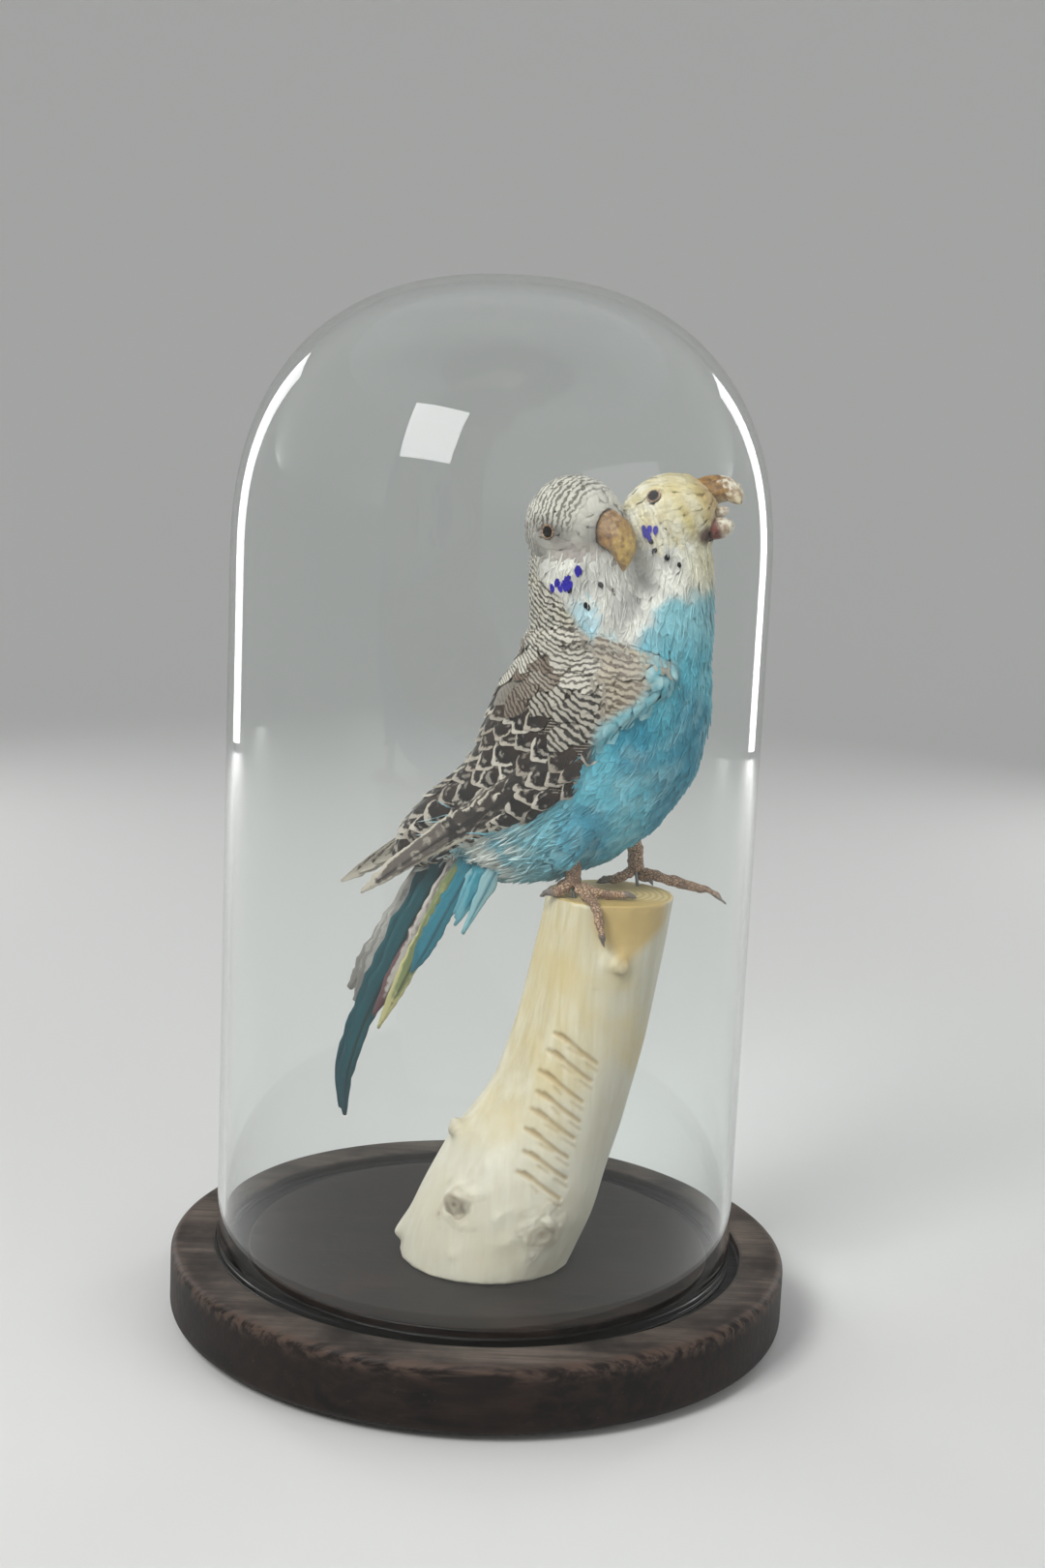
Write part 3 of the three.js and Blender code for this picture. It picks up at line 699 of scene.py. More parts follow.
def lay_feathers(name, place, normal, flow, size, tree, style, slot, look, rows=5, cols=3):
    """Overlapping feathers on a surface. size is (length, width, lift at the root, lift at the tip), each an
    array. style(points, places, feather numbers, shares along) gives FEATHER_VALUES at each point."""
    length, width, low, high = size
    count = len(place)
    # Each feather lies along the flow, turned a little by chance.
    flow = unit(flow - normal * (flow * normal).sum(1, keepdims=True))
    turn = rng.normal(0, 0.13, count)
    side = np.cross(normal, flow)
    flow = unit(flow * np.cos(turn)[:, None] + side * np.sin(turn)[:, None])
    side = np.cross(normal, flow)
    # Its outline widens to the middle and is round at the tip.
    s = np.linspace(0, 1, rows)
    t = np.linspace(-1, 1, cols)
    shape = np.where(s < 0.5, 0.55 + 0.9 * s, np.sqrt(np.clip(1 - ((s - 0.5) / 0.53) ** 2, 0.02, 1)))
    along = s[:, None] * np.ones(cols)
    reach = along - 0.10 * (t[None, :] ** 2) * s[:, None]
    spread = t[None, None, :] * shape[None, :, None] * width[:, None, None] / 2
    flat = place[:, None, None] + flow[:, None, None] * (reach[None] * length[:, None, None])[..., None]
    flat = (flat + side[:, None, None] * spread[..., None]).reshape(-1, 3)
    # It follows the surface below it, and its tip stands off.
    found = [tree.find_nearest(p) for p in flat.tolist()]
    on = np.array([f[0] for f in found])
    out = np.array([f[1] for f in found])
    height = low[:, None, None] + (high - low)[:, None, None] * (along[None] ** 1.3)
    height = height * (1 - 0.35 * t[None, None, :] ** 2) + rng.uniform(0, 0.12, count)[:, None, None]
    points = on + out * height.reshape(-1, 1)
    # Beyond the edge of what it lies on, a feather carries straight on.
    beyond = flat - on
    points += (beyond - out * (beyond * out).sum(1, keepdims=True)) * 0.9
    per = rows * cols
    corner = np.array([(r * cols + c, r * cols + c + 1, (r + 1) * cols + c + 1, (r + 1) * cols + c)
                       for r in range(rows - 1) for c in range(cols - 1)])
    faces = (corner[None] + (np.arange(count) * per)[:, None, None]).reshape(-1, 4)
    number = np.repeat(np.arange(count), per)
    share = np.tile(along.ravel(), count)
    uv = np.stack([np.tile(np.tile((t + 1) / 2, rows), count), share], 1)
    piece = add_mesh(name, points, faces, look, slot, (), uv)
    *values, wave = style(points, place, number, share)
    set_feather_values(piece, [*values, wave + rng.normal(0, 0.1, count)[number]])


def step(value, low, high):
    """From 0 at low to 1 at high, smoothly. low may be the greater of the two."""
    t = np.clip((value - low) / (high - low), 0, 1)
    return t * t * (3 - 2 * t)


def blend(share, a, b):
    """Colour a with a share of colour b at each point."""
    return a + (b - a) * np.asarray(share)[:, None]


BLUE, DEEP_BLUE, PALE_BLUE = linear("58a5b6"), linear("37849a"), linear("9cc5cb")
WHITE, GREY_WHITE, CREAM = linear("dedbd2"), linear("b5b3ad"), linear("d9cfa8")
BAR_DARK, BAR_LIGHT = linear("2b2420"), linear("c4beb2")
PATCH_LIGHT, PATCH_DARK = linear("a39a8d"), linear("594b41")
COVERT_DARK, COVERT_BROWN, COVERT_MARGIN = linear("100c0a"), linear("3c2d23"), linear("c3bbaf")
VIOLET, SPOT = linear("261b96"), linear("0d0b10")


def cloud(points, size, seed):
    """Smooth wandering values from about 0 to 1, size millimetres from one rise to the next."""
    rand = np.random.default_rng(seed)
    waves, phases = unit(rand.normal(size=(7, 3))), rand.uniform(0, TAU, 7)
    waves = waves * (TAU / size * rand.uniform(0.7, 1.5, 7))[:, None]
    return 0.5 + np.sin(points @ waves.T + phases).sum(1) / 6.5


def body_flow(place):
    """The way feathers lie: straight down at the neck, and more and more towards the tail below it."""
    z = place[:, 2]
    lean = np.radians(np.interp(z, [135, 150, 165, 185, 205, 225], [68, 60, 46, 26, 12, 6]))
    return np.stack([-np.sin(lean), np.zeros(len(z)), -np.cos(lean)], 1)


def near(points, centre, radius, ragged=0.25):
    """1 within radius of a place seen from the side, fading to 0 over an uneven edge."""
    away = np.hypot(points[:, 0] - centre[0], points[:, 2] - centre[1])
    away = away + radius * ragged * 2 * (cloud(points, 2.2, 5) - 0.5)
    return 1 - step(away, radius * 0.8, radius * 1.1)


def nape_wave(x, z):
    """Cross bars that run steeply at the back of the neck and level out at its side."""
    bend = np.where(x < 18, 0.055, 0.02) * (x - 18) ** 2
    return (z - bend) / 1.6


def body_style(points, place, number, share):
    """Blue with a white bib and vent, and barred on the nape, the mantle and the shoulder."""
    x, _, z = points.T
    rand = rng.random(number.max() + 1)[number]
    color = blend(step(cloud(points, 26, 1), 0.3, 0.75), BLUE, DEEP_BLUE)
    color = blend(step(cloud(points * [1, 1, 0.5], 5, 2), 0.5, 0.85) * 0.3, color, PALE_BLUE)
    color = blend(step(z, 196, 208) * 0.55, color, PALE_BLUE)
    fluff = step(x, 27, 5) * step(z, 166, 148)
    color = blend(fluff * (0.35 + 0.4 * cloud(points, 8, 3)), color, PALE_BLUE)
    vent = step(x, 14, 0) * step(z, 156, 144)
    color = blend(vent * step(cloud(points, 7, 4), 0.4, 0.6) * 0.8, color, WHITE)
    # White bib below both heads, with a pale tongue running down between the necks.
    line = np.interp(x, [5, 13, 22, 29, 34, 38, 44, 60], [222, 211, 206.5, 203, 200, 205, 214.5, 217])
    line = line + 2.4 * (cloud(points, 6, 6) - 0.5)
    bib = step(z, line - 3.5, line + 2.5)
    white = blend(cloud(points, 9, 7), WHITE, GREY_WHITE)
    color = blend(bib, color, white)
    color = blend(near(points, (20, 207), 6.5, 0.3) * 0.75, color, linear("9cc3d0"))
    # Painted shade greys the white bib in the fold between the two necks.
    neck_fold_shade = near(points, (33, 212), 4.5, 0.3)
    color = blend(neck_fold_shade * 0.5, color, linear("a9a3a3"))
    color = blend(step(x, 46, 56) * step(z, 212, 224) * 0.7, color, CREAM)
    # Barred nape and mantle, then the browner patch over the shoulder.
    side = np.interp(z, [178, 190, 200, 208, 214, 219], [16, 20, 23, 19.5, 15.5, 9])
    nape = step(x, side + 1.6, side - 1.6) * step(z, 176, 184)
    top = np.interp(x, [8, 16, 23, 47], [214, 208.4, 204, 197.5]) + 2 * (cloud(points, 4, 8) - 0.5)
    low = np.interp(x, [20, 27, 38, 46, 49], [170, 177, 185.5, 190, 195])
    low = low + 2.5 * (cloud(points, 4, 9) - 0.5)
    patch = step(z, top + 1.2, top - 1.8) * step(z, low - 1.8, low + 1.2) * step(x, 50, 44)
    patch = patch * (1 - nape)
    light = blend(step(x, 14, 26), BAR_LIGHT, PATCH_LIGHT)
    light = blend(step(cloud(points, 9, 10), 0.5, 0.8) * 0.5, light, linear("cfc6ae"))
    dark = blend(step(x, 14, 30), BAR_DARK, PATCH_DARK)
    color = blend(np.clip(nape + patch, 0, 1), color, light)
    color = color * (0.84 + 0.22 * rand)[:, None]
    bars = nape * 0.85 + patch * 0.7 * (1 - 0.7 * step(x, 30, 44))
    wave = np.where(nape > 0.5, nape_wave(x, z), (z + 0.22 * x) / 2.0)
    plain = 1 - np.clip(nape + patch, 0, 1)
    mark = blend(plain, dark, np.clip(color * 1.35, 0, 0.9))
    return color, mark, plain * 0.5, bars, wave


def around_head(points, key):
    """How far up each point lies from a head's middle, and its angle from the bill in degrees."""
    centre, facing = HEADS[key]
    way = unit(points - centre)
    return way[:, 2], np.degrees(np.arccos(np.clip(way @ facing, -1, 1)))


def head_values(color, number, dark, bars, wave):
    rand = rng.random(number.max() + 1)[number]
    color = color * (0.88 + 0.18 * rand)[:, None]
    return color, np.tile(dark, (len(color), 1)), np.zeros(len(color)), bars, wave


def rear_head_style(points, place, number, share):
    up, turn = around_head(points, "rear")
    color = blend(cloud(points, 8, 11), linear("a8a49c"), linear("86827c"))
    color = blend(step(up, -0.1, 0.4) * 0.7, color, linear("d6d2c6"))
    color = blend(step(up, -0.1, -0.5) * step(turn, 90, 60) * 0.5, color, linear("b7aaa4"))
    crown = step(turn, 44, 62) * step(up, -0.2, 0.1)
    back = step(turn, 96, 118) * step(up, -0.95, -0.5)
    wave = np.radians(turn) * 14.3 / 1.75
    return head_values(color, number, linear("3d342d"), np.maximum(crown, back) * 0.72, wave)


def front_head_style(points, place, number, share):
    up, turn = around_head(points, "front")
    color = blend(cloud(points, 7, 12), linear("dcd7c4"), linear("cbbf94"))
    color = blend(step(up, -0.1, 0.5) * step(turn, 130, 50) * 0.5, color, linear("cdb87c"))
    stain = step(cloud(points, 4, 13), 0.55, 0.8) * step(turn, 130, 100) * step(up, 0.55, 0.1)
    color = blend(stain * 0.5, color, linear("a89263"))
    color = blend(step(turn, 50, 32) * 0.5, color, linear("b98d4c"))
    throat = step(up, -0.35, -0.8)
    color = blend(throat * 0.7, color, linear("d9dbd6"))
    gape = 1 - step(np.linalg.norm(points[:, [0, 2]] - [55.0, 231.6], axis=1), 1.6, 3.4)
    color = blend(gape * 0.9, color, linear("4a1f18"))
    bars = step(turn, 84, 112) * step(up, 0.7, 0.2) * 0.35
    return head_values(color, number, linear("8a8072"), bars, np.radians(turn) * 12.6 / 1.5)


def covert_style(points, place, number, share):
    """Dark with pale margins behind, barred in front, and blue where the wing meets the breast."""
    x, _, z = points.T
    rand, other = rng.random((2, number.max() + 1))[:, number]
    root_x, root_z = place[number][:, 0], place[number][:, 2]
    wander = 3.5 * (cloud(place, 8, 14)[number] - 0.5)
    # Scallops behind and below, bold wavy bars in front of them, then the nape and the pale shoulder.
    line = np.interp(root_x, [0, 11, 16, 27], [190, 187, 181, 174])
    scallops = step(root_z + wander, line + 1.5, line - 1.5)
    behind = np.interp(z, [174, 190, 204], [28, 26, 19])
    ahead = np.interp(z, [174, 190, 204], [32, 30, 24])
    shoulder = step(x + wander, behind, ahead)
    nape = (1 - shoulder) * step(root_z, 189, 193)
    dark = blend(rand * 0.7, COVERT_DARK, linear("261c17"))
    dark = blend(step(share, 0.6, 0.1) * 0.6, dark, COVERT_BROWN)
    light = blend(rand * 0.7, COVERT_MARGIN, linear("978b7d"))
    tint = blend(1 - scallops, dark, linear("a29b90"))
    mark = blend(1 - scallops, light, linear("16110f"))
    tint = blend(nape, tint, BAR_LIGHT)
    mark = blend(nape, mark, BAR_DARK)
    tint = blend(shoulder, tint, blend(cloud(points, 9, 10), PATCH_LIGHT, linear("b0a48f")))
    mark = blend(shoulder, mark, PATCH_DARK)
    # Towards the breast and the belly the pale shoulder turns blue.
    low = np.interp(x, [20, 27, 38, 46], [172, 179.5, 187.5, 193]) + wander * 0.4
    breast = np.maximum(step(x + wander, 36, 44), step(z, low + 2, low - 2.5) * step(x, 24, 28))
    tint = blend(breast * 0.95, tint, blend(cloud(points, 5, 16), BLUE, PALE_BLUE))
    brown = near(place, (10.5, 192.5), 7.5, 0.6)[number] * (0.5 + 0.5 * other)
    tint = blend(brown * 0.85, tint, linear("5a4330"))
    mark = blend(brown * 0.85, mark, linear("19110d"))
    bars = (1 - scallops) * (0.92 - 0.15 * nape - shoulder * (0.1 + 0.45 * step(x, 31, 44))) * (1 - breast)
    wave = np.where(nape > 0.5, nape_wave(x, z), (z + 0.3 * x - 0.035 * (x - 25) ** 2) / 2.35)
    wave = np.where(shoulder > 0.5, (z + 0.22 * x) / 1.95, wave)
    return tint, mark, scallops * (0.6 + 0.4 * other), bars, wave


def swollen(amount):
    """A move for remeshed: every point goes out along its normal."""
    return lambda points, normals: points + normals * amount


def feather_skin(name, node, look, style):
    """The surface that shows between the feathers, coloured like them and a little below them."""
    piece = remeshed(name, [node], 0.8, 8, swollen(-0.25))
    points = points_of(piece.data)
    finish_piece(piece, look, [node])
    piece.data.uv_layers.new(name="vane")
    count = len(points)
    set_feather_values(piece, style(points, points, np.arange(count), np.zeros(count)))


def head_feathers(form, tree, look, key, style):
    """Short, close feathers that run back from the bill."""
    _, facing = HEADS[key]
    own = node_tree(f"head_{key}")
    bills = node_tree(f"upper_bill_{key}", f"lower_bill_{key}")
    eyes = node_tree(f"eye_{key}_left", f"eye_{key}_right")

    def on_head(points):
        clear = (distance(bills, points) > 0.7) & (distance(eyes, points) > 0.5)
        return clear & (distance(own, points) < 1.2)

    place, normal = scatter(form, lambda points: np.full(len(points), 1.15), on_head, 21)
    count = len(place)
    size = [np.full(count, v) for v in (3.4, 2.3, 0.12, 0.5)]
    flow = np.repeat([-facing + [0, 0, -0.45]], count, 0)
    name = f"head_{key}_feathers"
    lay_feathers(name, place, normal, flow, size, tree, style, "white_plumage", look, 4)


def body_feathers(form, tree, look):
    core, body = node_tree("body_form"), node_tree("body_plumage")
    wings = node_tree("wing_coverts_left", "wing_coverts_right")

    def on_body(points):
        """On the outside of the skin, off the wall of the hollow for the core, and clear of the wings."""
        clear = distance(wings, points) > np.where(points[:, 2] < 172, 0.9, 0.3)
        return clear & (distance(core, points) > 1.2) & (distance(body, points) < 1.4)

    def feather_gap(points):
        return np.interp(points[:, 2], [135, 160, 200, 225], [2.2, 2.3, 1.75, 1.45])

    def strand_gap(points):
        return np.interp(points[:, 2], [135, 165, 200, 225], [1.15, 1.7, 1.9, 2.0])

    # Feathers get longer and stand prouder towards the belly.
    place, normal = scatter(form, feather_gap, on_body, 22)
    count, z = len(place), place[:, 2]
    long = np.interp(z, [135, 160, 200, 225], [9.5, 8.5, 5.6, 4.4]) * rng.uniform(0.85, 1.2, count)
    wide = long * rng.uniform(0.5, 0.68, count)
    size = (long, wide, np.full(count, 0.15), np.interp(z, [135, 165, 210], [1.3, 0.9, 0.6]))
    flow = body_flow(place)
    lay_feathers("body_feathers", place, normal, flow, size, tree, body_style, "blue_plumage", look)

    # Fine loose strands are longest on the thighs and under the tail.
    place, normal = scatter(form, strand_gap, on_body, 24)
    count = len(place)
    flank = step(place[:, 0], 32, 12) * step(place[:, 2], 168, 150)
    long = (5.0 + 4.5 * flank) * rng.uniform(0.7, 1.2, count)
    wide = rng.uniform(0.35, 0.7, count)
    high = (1.0 + 1.3 * flank) * rng.uniform(0.7, 1.3, count)
    size = (long, wide, np.full(count, 0.5), high)
    flow = body_flow(place) + rng.normal(0, 0.12, (count, 3))
    lay_feathers("body_strands", place, normal, flow, size, tree, body_style, "blue_plumage", look)


def covert_feathers(form, tree, look):
    """Small and barred at the shoulder, large and scalloped behind, laid from the lowest up."""

    def gap(points):
        away = -0.66 * (points[:, 0] - 30) - 0.75 * (points[:, 2] - 195)
        return np.interp(away, [-8, 8, 20, 45], [2.0, 2.7, 4.1, 4.4])

    for side, sign in (("right", -1), ("left", 1)):
        own = node_tree(f"wing_coverts_{side}")

        def on_wing(points):
            return (distance(own, points) < 1.2) & (sign * (points[:, 1] - BIRD_Y) > -0.2)

        place, normal = scatter(form, gap, on_wing, 23)
        order = np.argsort(place[:, 2])
        vary = rng.uniform(0.82, 1.2, (2, len(place)))[:, order]
        place, normal = place[order], normal[order]
        room = gap(place)
        high = np.interp(room, [2, 4.4], [0.7, 1.5])
        size = (room * 2.1 * vary[0], room * 1.8 * vary[1], np.full(len(place), 0.25), high)
        flow = body_flow(place) + [-0.25, 0, 0]
        name = f"wing_{side}_coverts"
        lay_feathers(name, place, normal, flow, size, tree, covert_style, "barred_plumage", look, 6, 5)


# Each tuft's x, z, spread, number of feathers on one flank, and colour.
TUFTS = [
    (15.9, 218.6, 2.4, 12, VIOLET), (19.6, 221.3, 1.0, 3, VIOLET), (38.9, 231.9, 1.5, 6, VIOLET),
    (17.8, 216.2, 0.3, 3, SPOT), (22.4, 212.2, 0.4, 4, SPOT), (25.7, 217.6, 0.25, 2, SPOT),
    (29.4, 216.4, 0.1, 1, PATCH_DARK), (39.6, 229.8, 0.2, 2, SPOT), (40.6, 226.9, 0.3, 3, SPOT),
    (44.4, 225.5, 0.3, 3, SPOT), (47.2, 223.5, 0.1, 1, SPOT),
]


def cheek_tufts(tree, look):
    """Violet cheek patches and black throat spots: small flat feathers over the rest, on both flanks."""
    place, normal, color, small = [], [], [], []
    for x, z, spread, count, tone in TUFTS:
        for side in (-1, 1):
            for _ in range(count):
                dx, dz = rng.normal(0, spread * 0.55, 2)
                hit = tree.ray_cast((x + dx, side * 80.0, z + dz + 0.6), (0.0, -side, 0.0))
                place.append(hit[0])
                normal.append(hit[1])
                color.append(tone)
                small.append(tone is not VIOLET)
    place, normal, color, small = (np.array(v, float) for v in (place, normal, color, small))
    count = len(place)
    size = (2.5 - 0.9 * small, 1.5 - 0.3 * small, np.full(count, 0.75), np.full(count, 1.05))
    flow = np.repeat([[0.1, 0.0, -1.0]], count, 0) + rng.normal(0, 0.3, (count, 3)) * [1, 0, 0.3]

    def style(points, place, number, share):
        zero = np.zeros(len(points))
        tone = color[number] * rng.uniform(0.75, 1.3, count)[number][:, None]
        return tone, tone, zero, zero, zero

    lay_feathers("cheek_tufts", place, normal, flow, size, tree, style, "white_plumage", look, 4)


def plumage():
    """The skins, then the feathers, which lie on one smooth form over the whole bird."""
    form = remeshed("form", ["body_plumage", "wing_coverts_left", "wing_coverts_right", "head_rear",
                             "head_front"], 0.9, 14)
    mesh, tree, look = form.data, tree_of(form.data), plumage_look()
    feather_skin("body_skin", "body_plumage", look, body_style)
    feather_skin("head_rear_skin", "head_rear", look, rear_head_style)
    feather_skin("head_front_skin", "head_front", look, front_head_style)
    for side in ("left", "right"):
        feather_skin(f"wing_{side}_skin", f"wing_coverts_{side}", look, covert_style)
    head_feathers(mesh, tree, look, "rear", rear_head_style)
    head_feathers(mesh, tree, look, "front", front_head_style)
    body_feathers(mesh, tree, look)
    covert_feathers(mesh, tree, look)
    cheek_tufts(tree, look)
    bpy.data.objects.remove(form)


# ---------------------------------------------------------------- stiff feathers
def spline(stations, count):
    """Evenly resampled rows of a smooth line through stations (Catmull-Rom)."""
    points = np.asarray(stations, float)
    ends = np.vstack([2 * points[0] - points[1], points, 2 * points[-1] - points[-2]])
    u = np.linspace(0, len(points) - 1, count)
    i = np.minimum(u.astype(int), len(points) - 2)
    f = (u - i)[:, None]
    p0, p1, p2, p3 = ends[i], ends[i + 1], ends[i + 2], ends[i + 3]
    square, cube = 2 * p0 - 5 * p1 + 4 * p2 - p3, 3 * p1 - p0 - 3 * p2 + p3
    return 0.5 * (2 * p1 + (p2 - p0) * f + square * f**2 + cube * f**3)


def vane(stations, out, cols=9, rows=34, camber=0.35, lead=0.38, ragged=0.05):
    """A closed blade with a raised shaft. stations are (x, y, z, width); out is the way its face looks."""
    thick = 0.12
    line = spline(stations, rows)
    centre, width = line[:, :3], np.maximum(line[:, 3], 0.15)
    way = unit(np.gradient(centre, axis=0))
    out = np.asarray(out, float)
    face = unit(out - way * (way @ out)[:, None])
    side = np.cross(way, face)
    t = np.linspace(-1, 1, cols)
    place = np.where(t < 0, t * 2 * lead, t * 2 * (1 - lead))
    notch = 1 + rng.normal(0, ragged, (rows, 2))
    notch = np.where(rng.random((rows, 2)) < 0.07, notch * 0.82, notch)
    stretch = np.where(t[None] < 0, notch[:, :1], notch[:, 1:])
    spread = place[None] * stretch * width[:, None] / 2
    rise = camber * (1 - t**2)[None] * np.minimum(width / 5, 1)[:, None]
    shaft = 0.22 * np.exp(-((t / 0.12) ** 2))[None] * np.linspace(1, 0.25, rows)[:, None]
    slope = -0.35 * np.abs(spread)
    base = centre[:, None] + side[:, None] * spread[..., None] + way[:, None] * slope[..., None]
    upper = base + face[:, None] * (rise + shaft + thick / 2)[..., None]
    lower = base + face[:, None] * (rise - shaft - thick / 2)[..., None]
    points = np.concatenate([upper.reshape(-1, 3), lower.reshape(-1, 3)])
    half = rows * cols
    faces = []
    for r in range(rows - 1):
        for c in range(cols - 1):
            a, b = r * cols + c, (r + 1) * cols + c
            faces.append((a, a + 1, b + 1, b))
            faces.append((half + a, half + b, half + b + 1, half + a + 1))
        for c in (0, cols - 1):
            a, b = r * cols + c, (r + 1) * cols + c
            faces.append((a, b, half + b, half + a) if c == 0 else (a, half + a, half + b, b))
    for r in (0, rows - 1):
        for c in range(cols - 1):
            a, b = r * cols + c, half + r * cols + c
            faces.append((a, b, b + 1, a + 1) if r == 0 else (a, a + 1, b + 1, b))
    uv = np.stack([np.tile((t + 1) / 2, rows), np.repeat(np.linspace(0, 1, rows), cols)], 1)
    return points, np.array(faces), np.concatenate([uv, uv])


def stiff_feathers(name, blades, slot, look, replaces):
    """One mesh of closed blades. blades are (stations, out, colours, settings of vane), and colours are the
    vane's, its edge's and the shaft's, and how much of the edge's shows."""
    parts, start = [], 0
    for stations, out, (tint, mark, shaft, edge), settings in blades:
        points, faces, uv = vane(stations, out, **settings)
        across = np.abs(uv[:, 0] - 0.5) * 2
        color = blend(np.exp(-((across / 0.1) ** 2)) * 0.9, tint, shaft)
        color = color * (1 + rng.normal(0, 0.03, len(points)))[:, None]
        each = np.ones((len(points), 1))
        parts.append((points, faces + start, uv, color, each * mark, each[:, 0] * edge))
        start += len(points)
    points, faces, uv, color, mark, edge = map(np.concatenate, zip(*parts))
    piece = add_mesh(name, points, faces, look, slot, replaces, uv)
    none = np.zeros(start)
    set_feather_values(piece, (np.clip(color, 0, 1), mark, edge, none, none))


def wings(look):
    """Folded quills: the innermost lie on top and end first, the longest reach the wing's point."""
    tones = [linear(code) for code in ("26201d", "352d29", "453c36", "2b2623", "3d3530")]
    worn, edge, shaft = (linear(code) for code in ("5b524c", "b9b1a3", "120f0e"))
    quills, dark_quills = 9, 6
    for side, sign, tip_x, tip_z in (("right", -1, -37.5, 126.2), ("left", 1, -43.6, 128.6)):
        blades = []
        for k in range(quills):
            f = k / (quills - 1)
            y = [BIRD_Y + sign * (depth - 0.42 * k + 1.2)
                 for depth in (19.5 - 1.8 * f, 16.5 - 3.8 * f, 13.5 - 9.6 * f)]
            root = np.array([16.5 - 11 * f, y[0], 168.0 - 6.5 * f])
            end = np.array([-1.5 + (tip_x + 1.5) * f**0.85, y[2], 148.0 + (tip_z - 148.0) * f])
            middle = root * 0.45 + end * 0.55 + np.array([-1.2, 0, 1.6]) * (1 - f)
            middle[1] = y[1]
            wide = 7.6 - 1.7 * f
            stations = [
                (*root, wide * 0.8),
                (*(root * 0.7 + middle * 0.3), wide),
                (*middle, wide),
                (*(middle * 0.35 + end * 0.65), wide * 0.8),
                (*end, 0.9),
            ]
            colours = (tones[k % len(tones)] if k < dark_quills else worn, edge, shaft, 0.9)
            blades.append((stations, (0.15, sign, 0.25), colours, {"camber": 0.5, "lead": 0.34}))
        stiff_feathers(f"flight_{side}_quills", blades, "flight_plumage", look, [f"flight_feathers_{side}"])


TAIL_COLOURS = {
    "teal": ("024850", "01303a", "010304", 0.6),
    "pale": ("a9a6a0", "5f5a57", "26211f", 0.7),
    "rust": ("b0aaa2", "4c1c28", "2a1416", 0.9),
    "green": ("6f7a4f", "b5ad7c", "2c2c1e", 0.8),
    "blue": ("226f80", "124e5c", "0a3641", 0.5),
}
# The feathers of each node, from root to tip: x, y from the bird's middle, z and width.
TAIL = {
    "long_right": [
        ("teal", [(-9, -1.2, 143, 4), (-15, -1.6, 133, 5.6), (-22.5, -1.6, 118, 6.4),
                  (-29, -1.6, 103, 6.2), (-35.8, -1.6, 87, 5.8), (-39.8, -1.6, 72, 4.8),
                  (-40, -1.6, 60, 1.2)]),
    ],
    "long_left": [
        ("teal", [(-11, 0.6, 143, 4), (-17, 0.4, 133.5, 5.6), (-24, 0.4, 118.5, 6.4),
                  (-30.4, 0.4, 103.5, 6.2), (-37, 0.4, 87.5, 5.6), (-41, 0.4, 73, 4.6),
                  (-41.4, 0.4, 61.5, 1.2)]),
    ],
    "mid_right": [
        ("rust", [(-7, -3.2, 142, 4), (-11, -3.8, 134, 5), (-19, -4.3, 117, 6), (-27, -4.6, 101, 5),
                  (-32.6, -4.6, 91, 1)]),
        ("green", [(-6, -4.4, 141, 4), (-10, -5.0, 133, 5), (-17.2, -5.4, 117, 5.4), (-25, -5.6, 100, 4.4),
                   (-31, -5.6, 87.5, 0.8)]),
    ],
    "mid_left": [
        ("pale", [(-14, 2.2, 143, 4), (-19, 2.6, 134, 5), (-26.5, 3.2, 118, 6), (-34, 3.8, 103, 5.6),
                  (-38.5, 3.8, 92.5, 1.6)]),
        ("pale", [(-13, 3.4, 143, 4), (-20, 3.8, 132, 5), (-29, 4.4, 115, 6), (-36, 4.8, 103, 5.6),
                  (-40.4, 4.8, 96, 1.8)]),
    ],
    "short": [
        ("blue", [(-3, -5.0, 141, 4), (-7, -5.4, 134, 5), (-13.6, -6.2, 121, 5.6), (-18.4, -6.4, 111, 5),
                  (-22, -6.4, 104.5, 1)]),
    ],
}


def tail(look):
    for key, feathers in TAIL.items():
        blades = []
        for colour, line in feathers:
            *tones, edge = TAIL_COLOURS[colour]
            stations = [(x, BIRD_Y + y, z, width) for x, y, z, width in line]
            blades.append((stations, (0.25, -1, 0.15), (*map(linear, tones), edge), {"ragged": 0.07}))
        node = f"tail_feather_{key}"
        stiff_feathers(f"{node}_vane", blades, "tail_plumage", look, [node])


def undertail(look):
    """A loose fan of soft feathers below the root of the tail."""
    blades, count = [], 14
    for k in range(count):
        a = k / (count - 1)
        x0, z0 = 3 - 9 * a, 140 + 1.5 * a
        x1, z1 = -9 - 7 * a + rng.normal(0, 1.2), 118.5 + 7 * a + rng.normal(0, 1.5)
        y = BIRD_Y - 5.6 + 3.5 * a + rng.normal(0, 0.8)
        middle = (x0 * 0.6 + x1 * 0.4, y - 0.8, z0 * 0.6 + z1 * 0.4, 5.0)
        stations = [(x0, y, z0, 3.4), middle, (x1, y - 0.8, z1, 1.0)]
        colours = (linear("2f7f90" if k % 3 else "86a9ae"), linear("6fa3ad"), linear("1f6273"), 0.6)
        blades.append((stations, (0.2, -1, 0.1), colours, {"rows": 14, "cols": 7, "ragged": 0.14}))
    stiff_feathers("undertail_tuft", blades, "blue_plumage", look, ["undertail_covert"])


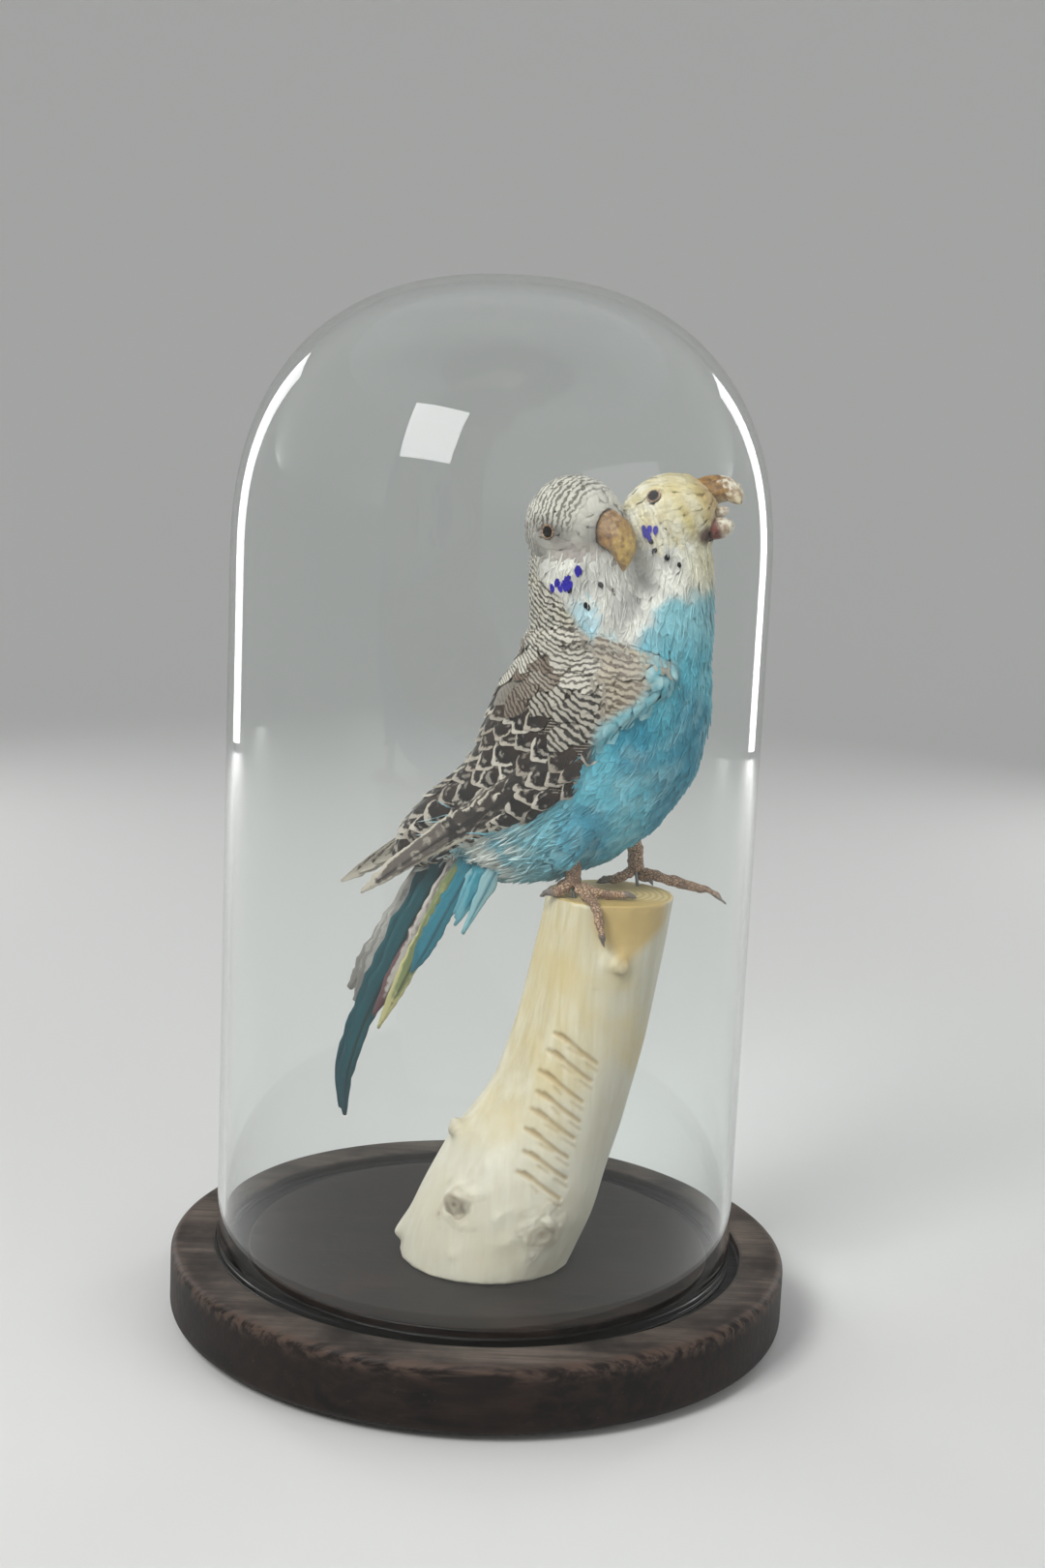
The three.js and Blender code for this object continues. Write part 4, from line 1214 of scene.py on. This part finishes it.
# ---------------------------------------------------------------- bills, eyes, legs
def bill_color(points, key, part):
    """Ochre horn that is browner at its root. The front head's bill is chipped pale."""
    ochre, rim, brown, chipped = (linear(code) for code in ("9c7538", "b3963a", "57351f", "d8d2c1"))
    centre, facing = HEADS[key]
    rise = unit(np.cross(np.cross(facing, [0, 0, 1]), facing))
    along, up = (points - centre) @ facing, (points - centre) @ rise
    ahead = (along - along.min()) / np.ptp(along)
    height = (up - up.min()) / np.ptp(up)
    if (key, part) == ("front", "lower"):
        return blend(step(ahead, 0.3, 0.6), linear("6b2c20"), chipped)
    color = blend(cloud(points, 2.6, 15) * 0.55, ochre, brown)
    if key == "front":
        color = blend(step(ahead + 0.2 * (cloud(points, 2, 18) - 0.5), 0.6, 0.72), color, chipped)
        return blend(step(height, 0.5, 0.2) * 0.75, color, linear("c8b690"))
    color = blend(step(ahead, 0.55, 0.1) * 0.8, color, brown)
    color = blend(step(ahead, 0.55, 0.95) * 0.7, color, rim)
    color = blend(step(height, 0.5, 0.85) * 0.75, color, linear("80602f"))
    cere = step(height, 0.8, 0.93) * step(cloud(points, 3, 17), 0.35, 0.6)
    return blend(cere, color, linear("a98b6a"))


def bills():
    look = horn_look("bill_horn", 0.42)
    for key, swell in (("rear", 0.15), ("front", 0.5)):
        for part in ("upper", "lower"):
            node = f"{part}_bill_{key}"
            piece = remeshed(f"{node}_horn", [node], 0.28, 6, swollen(swell))
            points = points_of(piece.data)
            finish_piece(piece, look, [node])
            set_values(piece, "tint", bill_color(points, key, part))


def tongue():
    piece = remeshed("tongue_lining", ["tongue_front"], 0.25, 4)
    along = points_of(piece.data) @ HEADS["front"][1]
    finish_piece(piece, horn_look("mouth_lining", 0.3), ["tongue_front"])
    ahead = (along - along.min()) / np.ptp(along)
    set_values(piece, "tint", blend(step(ahead, 0.15, 0.7), linear("6a2418"), linear("cfc4b4")))


def ring(middle, out, radius, thick, around=28, sides=8):
    """Points and faces of a round ring that looks out."""
    across = unit(np.cross(out, [0.1, 0.2, 1]))
    up = np.cross(across, out)
    points, faces = [], []
    for i in range(around):
        q = i * TAU / around
        radial = across * math.cos(q) + up * math.sin(q)
        a, b = i * sides, (i + 1) % around * sides
        for j in range(sides):
            w = j * TAU / sides
            k = (j + 1) % sides
            points.append(middle + radial * radius + (radial * math.cos(w) + out * math.sin(w)) * thick)
            faces.append((a + j, b + j, b + k, a + k))
    return np.array(points), faces


def eyes():
    glass, skin = eye_look(), scaled_look()
    radius = 1.85
    outline = [(radius * math.sin(a), -radius * math.cos(a)) for a in np.linspace(0, math.pi, 16)]
    bead, faces = lathe(outline, 24)
    for key, (centre, _) in HEADS.items():
        for side in ("left", "right"):
            node = f"eye_{key}_{side}"
            low, high = box_of(node)
            middle = (low + high) / 2
            out = unit(middle - centre)
            add_mesh(f"{node}_bead", middle + bead, faces, glass, "eye_glass", [node])
            lid = add_mesh(f"{node}_lid", *ring(middle + out * 0.75, out, 1.75, 0.32), skin, "scaled_skin")
            set_values(lid, "end", np.zeros(len(lid.data.vertices)))


def knobbly(points, normals):
    """Scaly rings and swollen joints on legs and toes."""
    scales = np.sin(TAU * (points @ [0.5, 0.5, 0.8]) / 1.3) * 0.5 + cloud(points, 2.6, 40)
    return points + normals * ((scales - 0.4) * 0.16 + (cloud(points, 5, 41) - 0.5) * 0.5)[:, None]


CLAWS = {
    "left": [(69, 2, 124.6), (47, 9.4, 128), (34.6, 9.4, 130.2), (29.4, 1.4, 130.2)],
    "right": [(31.8, -29, 117.5), (41.4, -18.6, 130.1), (21.5, -3, 130.2), (13.2, -17.6, 129.4)],
}


def legs():
    look = scaled_look()
    for side, claws in CLAWS.items():
        piece = remeshed(f"leg_{side}_skin", [f"leg_{side}"], 0.28, 4, knobbly)
        points = points_of(piece.data)
        finish_piece(piece, look, [f"leg_{side}"])
        away = np.min([np.linalg.norm(points - np.array(claw), axis=1) for claw in claws], axis=0)
        set_values(piece, "end", step(away, 6.0, 3.5))


def hidden_metal_and_core():
    steel = Look("steel", "8d9196", 0.35, Metallic=1.0)
    steel.paint(steel.mix(steel.noise(1.0, 3.0), "9a9ea3", "6f7377"))
    balsa = Look("balsa", "cdb38a", 0.8)
    balsa.paint(balsa.mix(balsa.noise(1.0, 4.0, balsa.place((0.1, 1, 1))), "d4bc94", "b89a6c"))
    for node in ("perch_screw_left", "perch_screw_right", "leg_wire_left", "leg_wire_right",
                 "neck_wire_rear", "neck_wire_front"):
        dress(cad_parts[node], steel.material)
    dress(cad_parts["body_form"], balsa.material)


# ---------------------------------------------------------------- build it all
set_camera()
backdrop()
studio_light()

dome()
base()
limb()
plumage()
stiff = plumage_look("stiff_plumage", 0.6)
wings(stiff)
tail(stiff)
undertail(stiff)
bills()
tongue()
eyes()
legs()
hidden_metal_and_core()
